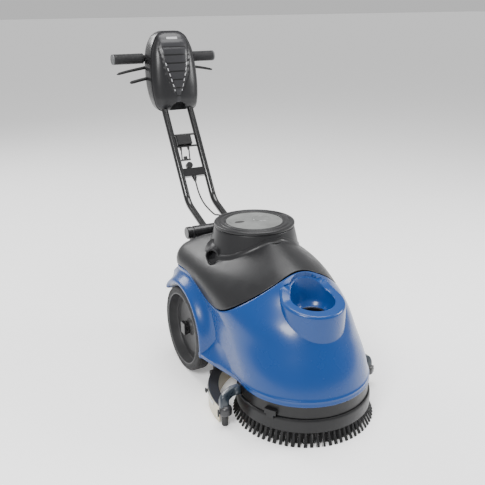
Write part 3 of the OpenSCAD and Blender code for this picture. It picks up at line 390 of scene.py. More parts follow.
def stacked(rows, like):
    """Arrays of radius and height from profile rows whose items are numbers or go round like one
    ring."""
    return (np.array([np.broadcast_to(row[k], like.shape) for row in rows]) for k in (0, 1))


def cup_surface(rounding, n=144):
    """Filler cup: outer wall r 76, a rim that falls 10 degrees to the front and climbs to the rear,
    a funnel bowl and its throat, as one closed surface in (direction, profile)."""
    a = np.arange(n) * TAU / n
    s = np.sin(a)
    out = np.where(76 * s <= 43, 75.9, np.maximum(43 / np.maximum(s, 1e-3), 55.5))
    front, rear = np.tan(np.radians(10)), np.tan(np.radians(33))
    slope = front + smooth(0, 0.8, s) * (rear - front)
    bowl, foot, waist = 51.0, 205.0, 279.0  # mouth radius, lower end and start of the throat
    ro = np.minimum(rounding, (out - bowl) * 0.45)
    ri = np.minimum(3.0, (out - bowl) * 0.45)

    def top(r):
        return BOWL_Z + r * s * slope

    rows = [(out, foot + (top(out) - ro - foot) * t) for t in np.linspace(0, 1, 14)]
    rows += [(out - ro * (1 - np.cos(k)), top(out) - ro + ro * np.sin(k))
             for k in np.linspace(0, np.pi / 2, 8)[1:]]
    rows += [(bowl + ri * (1 - np.sin(k)), top(bowl) - ri * (1 - np.cos(k)))
             for k in np.linspace(0, np.pi / 2, 6)]
    high = top(bowl) - ri
    rows += [(bowl - 8 * t**1.3, high + (waist - high) * t) for t in np.linspace(0, 1, 10)[1:]]
    rows += [(43 - 12 * k, waist - 13 * np.sin(k * np.pi / 2)) for k in np.linspace(0, 1, 8)[1:]]
    rows += [(31 - k, 266 - 3 * k) for k in np.linspace(0, 1, 5)[1:]]
    rows.append((30, foot))
    r, z = stacked(rows, s)
    return np.stack([r * np.cos(a), BOWL_Y + r * s, z], -1)


def fender_surface(reach, n=150):
    """Right fender: a lip round the wheel with a hollow fillet to the flank, in (turn, profile)."""
    a = np.radians(np.linspace(39, 191, n))[:, None]
    far = 21 + reach
    prof = np.array([[0.2, 139], [0.0, 160], [0.0, 184], [0.7, 187.5], [2.4, 189.7], [5, 190.4],
                     [8.5, 190.0], [11.6, 188.0], [14.5, 184.0], [17.5, 179.0], [21.5, 172.8],
                     [26.5, 167.0], [32.5, 162.6], [38.5, 159.8], [far, 157.6], [far, 150],
                     [far * 0.5, 146]])
    limit = np.where(np.cos(a) > 0, (REAR - 1 - WHEEL[0]) / np.maximum(np.cos(a), 0.05), 999) - ARCH
    r = ARCH + prof[None, :, 0] * np.minimum(1, limit / far)
    ends = smooth(39, 44, np.degrees(a))
    x = 156 + (prof[None, :, 1] - 156) * np.where(prof[None, :, 1] > 156, ends ** 0.5, 1)
    return np.stack([x + 0 * r, WHEEL[0] + r * np.cos(a), WHEEL[1] + r * np.sin(a)], -1)


def sill_surface(n=60):
    """Right sill: a flared skirt from the nose to the foot of the fender."""
    y = np.linspace(40, 197.5, n)
    edge = np.interp(y, [40, 56, 118, 166, 198], [158, 160.6, 174.5, 185.5, 190.2])
    edge = np.convolve(np.pad(edge, 4, mode="edge"), np.ones(9) / 9, "valid")
    e, k = (edge - 157.5)[:, None], np.linspace(0, 1, 14)[None]
    lift = 52 * smooth(40, 120, y)[:, None] + 8
    x = np.hstack([0 * e + 150, 157.5 + e - 3, 157.5 + e, 157.5 + e,
                   157.5 + e * (1 - k) ** 2.0 + 0.4 * (1 - k), 0 * e + 150])
    z = np.hstack([0 * e + 92, 0 * e + 92, 0 * e + 94, 0 * e + 101, 103 + lift * k, 104 + lift])
    return np.stack([x, np.broadcast_to(y[:, None], x.shape), z], -1)


def tank_shell(lip, wall):
    """Recovery tank body: floor over the parting surface, skin up to inside the dome, and the
    inner skin back down to the floor, as one closed shell round the air duct."""
    a, gap = directions(288), 2.0
    low = parted(a) + gap
    stop = climb(a, 0.0, lambda p: np.hypot(p[..., 0], p[..., 1] - DOME_Y) > cone(p[..., 2]) - 6)
    stop = np.maximum(stop, low + 12)
    outer = skin(a, low + lip + (stop - low - lip) * np.linspace(0, 1, 64)[:, None] ** 0.9)
    k = np.linspace(0, np.pi / 2, 6)[:-1, None]
    edge = skin(a, low + lip * (1 - np.cos(k)), lip * (1 - np.sin(k)))
    t = np.linspace(0, 1, 24)[:, None]
    inner = skin(a, stop - 1 + (low + wall - stop + 1) * t, wall)
    return np.concatenate([deck(edge[0], gap)[::-1], edge, outer, inner,
                           deck(inner[-1], gap + wall)])


def cone(z):
    """Outer radius of the dome at height z."""
    return 121 - 18 / 79 * (z - 325)


def port_scoop(p):
    """Presses the tank's shoulder down into the round way in front of the side port."""
    turn = math.radians(PORT[3])
    dx, dy = p[..., 0] - PORT[0], p[..., 1] - PORT[1]
    ahead = -dx * math.cos(turn) - dy * math.sin(turn)
    across = np.abs(-dx * math.sin(turn) + dy * math.cos(turn))
    way = 17.2  # radius of the round way
    floor = PORT[2] - np.sqrt(np.clip(way**2 - across**2, 0, None))
    near = (across < way) & (ahead > 0) & (ahead < 60) & (p[..., 2] > 290)
    out = p.copy()
    out[..., 2] = np.where(near, np.minimum(p[..., 2], floor), p[..., 2])
    return out


def dome_surface(fillet, n=192):
    """Dome: a cone from radius 121 up to 103 with a hollow fillet on to the tank, a rounded mouth
    and the inner wall back down, in (direction, profile)."""
    a = np.arange(n) * TAU / n
    c, s = np.cos(a), np.sin(a)
    base = cone(375) + 0 * a
    for _ in range(12):  # where the cone meets the tank's skin
        z = np.maximum(body_top(base * c, DOME_Y + base * s), 300)
        base = 0.5 * base + 0.5 * cone(z)
    z = body_top(base * c, DOME_Y + base * s)
    rows = []
    for k in np.linspace(0, 1, 9):
        r = base + fillet * (1 - k) ** 2
        tank = body_top(r * c, DOME_Y + r * s)
        rows.append((r, np.maximum(tank, z - 14) - 0.6 * (1 - k) + fillet * k**2))
    start, mouth, thick = z + fillet, cone(MOUTH_Z), 4.0
    for t in np.linspace(0, 1, 24)[1:]:
        height = start + (MOUTH_Z - 2 - start) * t
        rows.append((cone(height), height))
    rows += [(mouth - 0.5, MOUTH_Z - 0.5), (mouth - 2, MOUTH_Z), (mouth - thick, MOUTH_Z),
             (cone(380) - thick, 380), (np.minimum(cone(z) - thick, base - thick), z)]
    r, h = stacked(rows, a)
    return np.stack([r * c, DOME_Y + r * s, h], -1)


# ------------------------------------------------------------------ console
# Each row: height, half width, and the y of the front and of the back.
CONSOLE = np.array([
    [634, 58, 752, 796], [646, 66, 742, 812], [664, 71, 738, 828], [700, 75, 739, 846],
    [740, 75, 744, 857], [780, 72, 751, 864], [815, 66, 760, 866], [840, 56, 770, 861],
    [856, 46, 781, 850], [868, 30, 796, 834]], float)


CONSOLE_LOW, CONSOLE_HIGH = CONSOLE[0, 0], CONSOLE[-1, 0]


def console_at(z, col):
    """Smooth curve through one column of the console's stations."""
    k = CONSOLE
    m = np.gradient(k[:, col], k[:, 0])
    i = np.clip(np.searchsorted(k[:, 0], z, side="right") - 1, 0, len(k) - 2)
    h = k[i + 1, 0] - k[i, 0]
    return hermite((z - k[i, 0]) / h, h, k[i, col], k[i + 1, col], m[i], m[i + 1])


def console_skin(a, z, t=0.0):
    """Console outline in direction a at height z: a rounded box of power 3.6, drawn in by t."""
    c, s = np.cos(a), np.sin(a)
    q = (np.abs(c) ** 3.6 + np.abs(s) ** 3.6) ** (-1 / 3.6)
    front, back = console_at(z, 2), console_at(z, 3)
    y = (front + back) / 2 + ((back - front) / 2 - t) * q * s
    return np.stack(np.broadcast_arrays((console_at(z, 1) - t) * q * c, y, z), -1)


PANEL = (854.0, 834.0)  # a point of the flat control panel: its y and its height
PANEL_OUT = (math.sin(math.radians(67.6)), math.cos(math.radians(67.6)))  # the way it faces


def panel_depth(p):
    """How far a point stands out of the flat control panel."""
    return (p[..., 1] - PANEL[0]) * PANEL_OUT[0] + (p[..., 2] - PANEL[1]) * PANEL_OUT[1]


def onto_panel(p):
    """Slides points that stand out of the panel back on to it."""
    d = np.maximum(panel_depth(p), 0)
    return np.stack([p[..., 0], p[..., 1] - d * PANEL_OUT[0], p[..., 2] - d * PANEL_OUT[1]], -1)


def mask_split(z, gap=0.0):
    """The y of the joint between mask and rear shell: a line that leans back with height."""
    return 760 + gap + (z - CONSOLE_LOW) * math.tan(math.radians(8))


def mask_relief(x, z, rib):
    """Relief of the console's front: a raised V-shaped panel with rounded cross ribs."""
    half = np.interp(z, [672, 690, 742, 822, 840], [0, 10, 36, 47, 44])
    inside = smooth(0, 7, half - np.abs(x)) * smooth(670, 682, z) * smooth(846, 834, z)
    wave = 0.5 - 0.5 * np.cos(TAU * (z - 680) / 24)
    ribs = wave**0.45 * smooth(4, 14, half - np.abs(x)) * smooth(690, 702, z) * smooth(822, 812, z)
    groove = np.exp(-(((half - np.abs(x)) / 1.8) ** 2)) * smooth(676, 690, z) * smooth(842, 832, z)
    return inside * 1.2 + ribs * rib - groove * 1.8


# ------------------------------------------------------------------ materials
class Nodes:
    """Small builder of a node material around one Principled shader."""

    def __init__(self, name, base, rough, metal=0.0, coat=0.0, spec=0.5, under=0.0):
        self.mat = bpy.data.materials.new(name)
        self.mat.use_nodes = True
        self.tree = self.mat.node_tree
        self.bsdf = next(n for n in self.tree.nodes if n.type == "BSDF_PRINCIPLED")
        for key, value in (("Base Color", (*base[:3], 1.0)), ("Roughness", rough), ("Metallic", metal),
                           ("Coat Weight", coat), ("Coat Roughness", 0.08),
                           ("Specular IOR Level", spec), ("Subsurface Weight", under)):
            self.bsdf.inputs[key].default_value = value
        self.coords = self.tree.nodes.new("ShaderNodeTexCoord").outputs["Object"]
        self.base = base

    def node(self, kind, inputs=(), **facts):
        """A node whose inputs are linked to sockets or set to values."""
        n = self.tree.nodes.new(kind)
        for k, v in facts.items():
            setattr(n, k, v)
        for k, v in dict(inputs).items():
            if hasattr(v, "links"):
                self.tree.links.new(v, n.inputs[k])
            else:
                n.inputs[k].default_value = v
        return n

    def noise(self, scale, detail=3.0, rough=0.5, stretch=None):
        """Cloudy value on Object coordinates, which may be stretched along an axis."""
        vector = self.coords
        if stretch:
            vector = self.node("ShaderNodeMapping", {0: self.coords, 3: stretch}).outputs[0]
        return self.node("ShaderNodeTexNoise", {"Vector": vector, "Scale": scale, "Detail": detail,
                                                "Roughness": rough}).outputs[0]

    def ramp(self, value, low, high, a, b):
        """The value's range from low to high laid on a to b."""
        return self.node("ShaderNodeMapRange", {0: value, 1: low, 2: high, 3: a, 4: b}).outputs[0]

    def math(self, kind, *values):
        """A sum of two values, or of more by taking them in turn."""
        out = values[0]
        for v in values[1:] or (0.0,):
            out = self.node("ShaderNodeMath", {0: out, 1: v}, operation=kind).outputs[0]
        return out

    def within(self, value, centre, half):
        """1 where a value lies closer to the centre than half."""
        off = self.math("ABSOLUTE", self.math("SUBTRACT", value, centre) if centre else value)
        return self.math("LESS_THAN", off, half)

    def axes(self):
        """The x, y and z of Object coordinates."""
        return self.node("ShaderNodeSeparateXYZ", {0: self.coords}).outputs

    def mix(self, factor, a, b):
        """Colour a turning into colour b with the factor."""
        a, b = (v if hasattr(v, "links") else (*v[:3], 1.0) for v in (a, b))
        return self.node("ShaderNodeMix", {0: factor, 6: a, 7: b}, data_type="RGBA").outputs[2]

    def to(self, socket, value):
        """Feeds a value to one of the shader's sockets."""
        self.tree.links.new(value, self.bsdf.inputs[socket])
        return self

    def vary(self, amount=0.12, scale=9.0, gloss=0.15):
        """Slow change of tone and roughness over the surface, as dust and handling leave it."""
        n = self.noise(scale, 4.0, 0.6)
        dark = [c * (1 - amount) for c in self.base[:3]]
        light = [c * (1 + amount) for c in self.base[:3]]
        self.to("Base Color", self.mix(self.ramp(n, 0.1, 0.9, 0.0, 1.0), dark, light))
        r = self.bsdf.inputs["Roughness"].default_value
        fine = self.noise(scale * 5, 3.0)
        return self.to("Roughness", self.ramp(fine, 0.0, 1.0, r * (1 - 2 * gloss), r * (1 + 2 * gloss)))

    def bump(self, height, strength, distance):
        """Relief of the surface by a height."""
        b = self.node("ShaderNodeBump", {"Height": height, "Strength": strength, "Distance": distance})
        return self.to("Normal", b.outputs[0])

    def grain(self, scale=1400.0, strength=0.25, distance=0.0002):
        """Fine moulded grain."""
        return self.bump(self.noise(scale, 2.0), strength, distance)


def finishes(c):
    """Finishes of one tone, by name: the material's name, its colour and roughness, the shader's
    other values, the slow change of tone, and the moulded grain if it has one."""
    return {
        "blue": ("blue_plastic", c.blue, 0.27, dict(coat=0.12, spec=0.38), (0.05, 5.0, 0.04),
                 (420.0, 0.06, 0.0003)),
        "charcoal": ("charcoal_plastic", c.charcoal, 0.36, dict(spec=0.3), (0.10, 7.0), (900.0, 0.22)),
        "ring": ("lid_plastic", [v * 0.9 for v in c.charcoal], 0.34, dict(spec=0.35), (0.08,),
                 (1200.0, 0.15)),
        "console": ("console_plastic", c.console, 0.26, {}, (0.10, 12.0), (1300.0, 0.08)),
        "black": ("black_plastic", c.black, 0.38, dict(spec=0.3), (0.15, 15.0), (1500.0, 0.25)),
        "paint": ("black_paint", c.paint, 0.20, dict(coat=0.4), (0.1, 20.0), (220.0, 0.05, 0.0004)),
        "frame": ("frame_paint", (0.018, 0.018, 0.02), 0.38, dict(coat=0.1), (0.2, 12.0), (700.0, 0.3)),
        "arm": ("arm_paint", (0.016, 0.024, 0.034), 0.30, dict(coat=0.3), (0.12, 14.0),
                (160.0, 0.08, 0.0005)),
        "motor": ("motor_paint", (0.04, 0.042, 0.048), 0.45, dict(metal=0.2), (0.15, 20.0),
                  (500.0, 0.4)),
        "cast": ("cast_metal", (0.40, 0.41, 0.43), 0.50, dict(metal=0.9), (0.12, 25.0),
                 (650.0, 0.6, 0.0004)),
        "battery": ("battery_plastic", (0.022, 0.025, 0.030), 0.42, {}, (0.12,), (900.0,)),
        "pale": ("pale_plastic", (0.56, 0.57, 0.55), 0.42, {}, (0.05,), (1100.0, 0.15)),
        "rubber": ("black_rubber", (0.014, 0.014, 0.015), 0.62, {}, (0.2, 18.0), (1600.0, 0.4)),
        "cable": ("cable_sheath", (0.012, 0.012, 0.012), 0.48, {}, (0.2, 30.0), (2000.0, 0.3)),
        "grip": ("grip_rubber", (0.010, 0.010, 0.011), 0.55, dict(spec=0.3), (0.15, 25.0),
                 (1900.0, 0.5)),
        "cap": ("end_cap", (0.085, 0.087, 0.09), 0.40, {}, (0.1, 25.0), (1500.0,)),
        "wheel": ("wheel_plastic", c.wheel, 0.44, dict(spec=0.35), (0.08, 10.0), (1000.0, 0.3)),
        "blade": ("blade_rubber", c.blade, 0.42, dict(under=0.15), (0.08, 16.0), (700.0, 0.2)),
        "bristle": ("bristle", c.bristle, 0.46, {}, (0.3, 60.0), None),
        "switch": ("switch_green", (0.02, 0.22, 0.07), 0.25, dict(coat=0.4), (0.05,), None),
    }


def steel_finish():
    """Drawn steel: fine lines along the piece."""
    steel = Nodes("steel", (0.55, 0.56, 0.58), 0.30, metal=1.0).vary(0.08, 30.0)
    return steel.bump(steel.noise(300.0, 3.0, 0.6, (1, 12, 12)), 0.15, 0.0003).mat


def tyre_finish(c):
    """Dull rubber with a coarser surface than the moulded plastics."""
    tyre = Nodes("tyre_rubber", c.tyre, 0.66, spec=0.3).vary(0.14, 14.0)
    return tyre.bump(tyre.noise(800.0, 4.0), 0.35, 0.0004).mat


def mask_finish(c):
    """Plastic of the console's front: a darker V-shaped panel with painted shade, near black, in the
    grooves between its ribs, a pale dashed line down both of its sides and a plain pale bar at the top."""
    mask = Nodes("mask_plastic", c.console, 0.32, spec=0.4)
    x, _, z = mask.axes()
    side = mask.math("ABSOLUTE", x)
    half = mask.ramp(z, 0.690, 0.822, 0.010, 0.047)
    line = mask.within(mask.math("SUBTRACT", side, half), 0, 0.0015)
    dash = mask.math("GREATER_THAN", mask.math("SINE", mask.math("MULTIPLY", z, 400.0)), -0.15)
    marks = mask.math("MULTIPLY", line, dash, mask.within(z, 0.738, 0.044))
    bar = mask.math("MULTIPLY", mask.within(x, -0.002, 0.017), mask.within(z, 0.848, 0.0032))
    inside = mask.math("LESS_THAN", side, mask.math("SUBTRACT", half, 0.004))
    # painted shade: a near-black band along each groove between the ribs, where the relief dips
    turn = mask.math("MULTIPLY", mask.math("SUBTRACT", z, 0.680), TAU / 0.024)
    groove_shade = mask.math("GREATER_THAN", mask.math("COSINE", turn), 0.86)
    groove_shade = mask.math("MULTIPLY", groove_shade, inside, mask.math("LESS_THAN", z, 0.824))
    field = mask.mix(inside, c.console, [v * 2.2 for v in c.console[:3]])
    field = mask.mix(groove_shade, field, (0.0015, 0.0015, 0.0015))
    mask.to("Base Color", mask.mix(mask.math("MAXIMUM", marks, bar), field, (0.30, 0.30, 0.31)))
    return mask.grain(1300.0, 0.10).mat


def window_finish(c):
    """Smoke-coloured disc: cloudy tone, a dark oval of painted shade in the finger hole and a slow ripple."""
    window = Nodes("smoke_window", c.window, 0.20, coat=0.15, spec=0.35)
    x, y, _ = window.axes()
    # painted shade: the oval of the finger hole is coloured near black, as the shade inside it
    wide = window.math("MULTIPLY", window.math("ADD", x, 0.038), 0.62)
    deep = window.math("ADD", y, 0.0895)
    reach = window.math("ADD", window.math("MULTIPLY", wide, wide), window.math("MULTIPLY", deep, deep))
    hole = window.math("LESS_THAN", reach, 0.0085**2)
    cloud = window.ramp(window.noise(14.0, 3.0), 0.35, 0.65, 0.0, 1.0)
    tone = window.mix(cloud, [v * 0.62 for v in c.window[:3]], c.window)
    window.to("Base Color", window.mix(hole, tone, (0.012, 0.012, 0.012)))
    return window.bump(window.noise(90.0, 2.0), 0.06, 0.0006).mat


def gauge_finish():
    """Dark glass with a short row of green bars."""
    glass = (0.01, 0.012, 0.012)
    gauge = Nodes("gauge", glass, 0.18, coat=0.8)
    x, _, z = gauge.axes()
    bars = gauge.math("GREATER_THAN", gauge.math("SINE", gauge.math("MULTIPLY", x, 1500.0)), 0.1)
    lit = gauge.math("MULTIPLY", bars, gauge.within(z, 0.8345, 0.0022), gauge.within(x, 0, 0.0095))
    return gauge.to("Base Color", gauge.mix(lit, glass, (0.10, 0.55, 0.12))).mat


def materials():
    """Every material of the machine, by name."""
    c = bpy.context.scene.scrubber_colours
    made = {"steel": steel_finish(), "tyre": tyre_finish(c), "mask": mask_finish(c),
            "window": window_finish(c), "gauge": gauge_finish()}
    for key, (name, base, rough, values, change, grain) in finishes(c).items():
        finish = Nodes(name, base, rough, **values).vary(*change)
        made[key] = (finish.grain(*grain) if grain else finish).mat
    return made


CAD_LOOKS = {
    "black": ["brush_deck", "filler_strainer", "control_module", "suction_nozzle", "cable_box",
              "cable_gland", "vacuum_switch"],
    "charcoal": ["left_hub_cap", "right_hub_cap"],
    "frame": ["base_frame", "drive_plate", "handle_brackets"],
    "console": ["fold_barrel", "fold_pin"],
    "paint": ["handle_tubes", "cross_braces", "handlebar"],
    "steel": ["axle", "bracket_bolts", "drive_shaft", "blade_strap"],
    "motor": ["brush_motor", "vacuum_motor"],
    "cast": ["gearbox"],
    "battery": ["batteries"],
    "pale": ["solution_feed", "float_cage", "float_ball"],
    "rubber": ["lid_seal", "left_roller", "right_roller", "left_castor", "right_castor", "wing_nuts"],
    "blade": ["front_blade", "rear_blade"],
    "switch": ["power_switch"],
    "gauge": ["battery_gauge"],
}
SHARED = {}


def look(name):
    """A material by name, made once."""
    if not SHARED:
        SHARED.update(materials())
    return SHARED[name]


def sizes():
    """The size settings in mm."""
    s = bpy.context.scene.scrubber_sizes
    return {k: getattr(s, k) / MM for k in s.__annotations__}


# ------------------------------------------------------------------ operators
class SCRUBBER_OT_cad_looks(bpy.types.Operator):
    """Give every shown mechanical piece its material"""
    bl_idname = "scrubber.cad_looks"
    bl_label = "Mechanical pieces"

    def execute(self, context):
        for name, nodes in CAD_LOOKS.items():
            for node in nodes:
                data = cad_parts[node].data
                data.materials.clear()
                data.materials.append(look(name))
        return {"FINISHED"}


class SCRUBBER_OT_blue_body(bpy.types.Operator):
    """Build the solution tank with its filler cup, fenders and sills"""
    bl_idname = "scrubber.blue_body"
    bl_label = "Blue body"

    def execute(self, context):
        s = sizes()
        a = directions(384)
        grid = shell(a, FOOT_Z, parted(a), 120, s["wall"], s["lip"], 3.0)
        grid = wheel_side(under_cup(grid))
        Bag().tube(grid, loop_u=True).piece("blue_shell", "chassis", "blue_plastic", look("blue"),
                                            ["solution_tank"], 50)
        cup = Bag().tube(cup_surface(s["cup_round"]), loop_u=True)
        cup.piece("blue_filler_cup", "chassis", "blue_plastic", look("blue"), ["filler_cup"], 40)
        side = Bag().tube(fender_surface(s["fender_fillet"])).tube(sill_surface())
        inner = 139.0  # hidden face of the plate that closes the wheel well
        plate = spin([(ARCH + 20, inner), (ARCH + 20, WELL), (60, WELL), (12, WELL), (12, inner),
                      (60, inner)], 96, (0, *WHEEL), "x")
        plate[..., 2] = np.maximum(plate[..., 2], FOOT_Z - 2)
        plate[..., 1] = np.minimum(plate[..., 1], REAR - 6)
        side.tube(plate, loop_u=True).mirror().piece(
            "blue_arches", "chassis", "blue_plastic", look("blue"), ["left_arch", "right_arch"], 40)
        return {"FINISHED"}


class SCRUBBER_OT_recovery_tank(bpy.types.Operator):
    """Build the recovery tank with its dome and side port"""
    bl_idname = "scrubber.recovery_tank"
    bl_label = "Recovery tank"

    def execute(self, context):
        s = sizes()
        bag = Bag().tube(port_scoop(tank_shell(s["lip"], s["wall"])), loop_u=True)
        bag.tube(port_scoop(dome_surface(s["dome_fillet"])), loop_u=True)
        funnel = [(40, 34), (32, 28), (27, 22), (24, 16), (22.2, 10), (21, 5), (21, 3), (20.4, 0.8),
                  (19, 0), (17.6, 0.1), (16.7, 1.4), (16.5, 4), (16.5, 21), (8, 21.5), (8, 34)]
        port = spin(funnel, 72, (0, 0, PORT[2]), "x")
        turn = math.radians(PORT[3])
        port = np.stack([PORT[0] + port[..., 0] * math.cos(turn) - port[..., 1] * math.sin(turn),
                         PORT[1] + port[..., 0] * math.sin(turn) + port[..., 1] * math.cos(turn),
                         port[..., 2]], -1)
        bag.tube(port, loop_u=True)
        bag.piece("grey_tank", "recovery_tank", "charcoal_plastic", look("charcoal"),
                  ["recovery_tank"], 42)
        return {"FINISHED"}


class SCRUBBER_OT_lid(bpy.types.Operator):
    """Build the lid's ring and its smoke-coloured window"""
    bl_idname = "scrubber.lid"
    bl_label = "Lid"

    def execute(self, context):
        prof = [(67, 0), (67, -8), (93, -8), (93, 0), (103.4, 0), (104.4, 0.8), (104.6, 2.2), (104.6, 4.8),
                (104.0, 6.4), (102.6, 7.5), (100.6, 8.0), (96.5, 8.0), (95.2, 7.6), (94.4, 6.5), (93.4, 6.0),
                (90.6, 6.0), (89.6, 6.3), (88.8, 7.2), (87.6, 7.7), (80.6, 7.7), (79.8, 7.3), (79.2, 6.7),
                (78.4, 6.7), (77.8, 7.3), (77.0, 7.7), (73.6, 7.6), (73.4, 7.2), (73.4, 4.6), (67, 4.6)]
        ring = Bag().tube(spin(prof, 160, (0, DOME_Y, LID_Z)), loop_u=True)
        ring.piece("lid_outer", "lid", "charcoal_plastic", look("ring"), ["lid_ring"], 30)
        n, rings, edge = 160, 60, 73.0
        a = np.arange(n) * TAU / n
        r = np.linspace(1.5, edge, rings)[:, None]
        x, y = r * np.cos(a), r * np.sin(a)
        # relief: a round ridge, the upper half of a second one, a line near the edge, a finger hole
        up = 1.5 * smooth(3.2, 1.0, np.abs(np.hypot(x - 26, y - 8) - 22))
        up += 0.9 * smooth(3.4, 1.0, np.abs(np.hypot(x + 38, y - 9) - 23)) * smooth(-9, 6, y - 9)
        up += 0.5 * smooth(1.6, 0.3, np.abs(r - 64))
        up -= 0.9 * smooth(10, 8, np.hypot((x + 38) * 0.62, y - 9.5))
        top = np.stack([x, DOME_Y + y, LID_Z + 7.2 + up], -1)
        rim = [edge * np.cos(a), DOME_Y + edge * np.sin(a), np.full(n, LID_Z + 4.8)]
        disc = Bag().tube(np.concatenate([np.stack(rim, -1)[None], top[::-1]]))
        disc.piece("lid_disc", "lid", "smoke_plastic", look("window"), ["lid_window"], 45)
        return {"FINISHED"}


class SCRUBBER_OT_wheels(bpy.types.Operator):
    """Build the tyres and wheel discs"""
    bl_idname = "scrubber.wheels"
    bl_label = "Wheels"

    def execute(self, context):
        groove, grooves = sizes()["groove"], 5
        inside, outside, rim, radius = 145.5, 185.5, 98.0, 116.0
        start, wide = 153.0, 25.0  # the grooved band of the tread
        x = np.linspace(start, start + wide, 41)
        cut = smooth(0.2, 0.9, np.sin((x - start) / wide * TAU * grooves - 1.6))
        tread = list(zip(radius - groove * cut, x))
        outline = [(rim, inside), (108, inside), (112.5, inside + 1.2), (115.2, inside + 4)] + tread
        outline += [(115.2, outside - 4), (113.6, outside - 1.8), (111, outside - 0.5),
                    (106.5, outside), (105.6, outside - 0.5), (104.6, outside - 0.6),
                    (103.8, outside), (rim + 0.6, outside), (rim, outside - 0.4)]
        disc = [(8.1, 147), (20, 147), (20, 151.5), (92, 151.5), (94, 146.2), (97.9, 146), (97.9, 185.2),
                (96.8, 185.5), (95.4, 185.3), (94.6, 184.2), (94.0, 163), (92.6, 159.4), (89, 158.0),
                (78, 157.6), (74, 158.6), (70, 158.7), (66, 157.6), (30, 157.6), (24.5, 158.6), (21.5, 161.5),
                (20, 165), (19.4, 167.4), (8.1, 167.4)]
        for sign, side in ((-1, "left"), (1, "right")):
            for prof, name, slot, mat, node in (
                    (outline, "tyre", "tyre_rubber", "tyre", "tyre"),
                    (disc, "disc", "wheel_plastic", "wheel", "wheel_disc")):
                grid = spin(np.array(prof, float) * [1, sign], 160, (0, *WHEEL), "x")
                Bag().tube(grid, loop_u=True).piece(
                    f"{side}_{name}_surface", f"{side}_wheel", slot, look(mat),
                    [f"{side}_{node}"], 32)
        return {"FINISHED"}


def tuft_strands(rng, ring, root, k, strands, sides=5):
    """One strand of every tuft of a ring: thin five-sided rods from the block down to the floor.
    The strands of a tuft start on a spiral and spread; each rod leans out as its depth to the
    power 1.5, with a small random turn, reach and length."""
    radius, count, lean = ring
    block, reach = 30.5, 2.6 * math.sqrt(k / strands)
    out, along = reach * math.cos(2.4 * k + 0.7), reach * math.sin(2.4 * k + 0.7)
    a = (np.arange(count) + 0.5 * (radius % 2)) * TAU / count + rng.normal(0, 0.0012, count)
    r0 = radius + out * 0.9
    r1 = np.minimum(radius + lean + out * 1.5 + rng.normal(0, 0.5, count), 171.2)
    a1 = a + (along * 1.5 + rng.normal(0, 0.5, count)) / radius
    a0 = a + along * 0.8 / radius
    tip = rng.uniform(0.0, 1.0, count)
    t = np.arange(sides) * TAU / sides
    rings = []
    for f, w in ((0, 1.0), (0.5, 0.95), (1, 0.75)):
        r, turn, w = r0 + (r1 - r0) * f**1.5, a0 + (a1 - a0) * f, w * root * 0.45
        x, y, z = r * np.cos(turn), r * np.sin(turn), block + (tip - block) * f
        rings.append(np.stack([x[:, None] + w * np.cos(t), y[:, None] + w * np.sin(t),
                               z[:, None] + 0 * t], -1))
    pts = np.stack(rings, 1).reshape(-1, 3)
    m = len(rings)
    step = (np.arange(count) * m * sides)[:, None, None]
    top = np.array([[0, k + 1, k] for k in range(sides - 2, 0, -1)])
    low = np.array([[0, k, k + 1] for k in range(1, sides - 1)]) + (m - 1) * sides
    quads = (weave(m, sides)[None] + step).reshape(-1, 4)
    tris = (np.vstack([top, low])[None] + step).reshape(-1, 3)
    if volume(pts, quads, tris) < 0:
        quads, tris = quads[:, ::-1], tris[:, ::-1]
    return pts, quads, tris


# Rings of tufts: radius, number of tufts, and how far their tips lean out.
TUFT_RINGS = ((157, 74, 14), (146, 68, 8), (134, 60, 4), (120, 52, 1), (104, 44, 0), (87, 36, -2))


class SCRUBBER_OT_brush(bpy.types.Operator):
    """Build the brush block and its rings of bristle tufts"""
    bl_idname = "scrubber.brush"
    bl_label = "Brush"

    def execute(self, context):
        rng = np.random.default_rng(7)
        root = sizes()["tuft"]
        rim = [(40, 30), (154, 30), (160.2, 30.5), (162, 32.5), (162.4, 36), (162.4, 58),
               (162.0, 61.5), (160.6, 64), (158.4, 65), (155.4, 64.6), (153.4, 62.6), (151.6, 56),
               (150.5, 43), (149, 42), (40, 42)]
        block = Bag().tube(spin(rim, 200, (0, 0, 0)), loop_u=True)
        block.piece("brush_ring", "brush", "charcoal_plastic", look("black"), ["brush_block"], 30)
        tufts = Bag()
        for ring in TUFT_RINGS:
            strands = 15 if ring[0] > 140 else 8
            for k in range(strands):
                tufts.add(*tuft_strands(rng, ring, root, k, strands))
        tufts.piece("brush_tufts", "brush", "bristle", look("bristle"), ["brush_bristles"], 60)
        return {"FINISHED"}


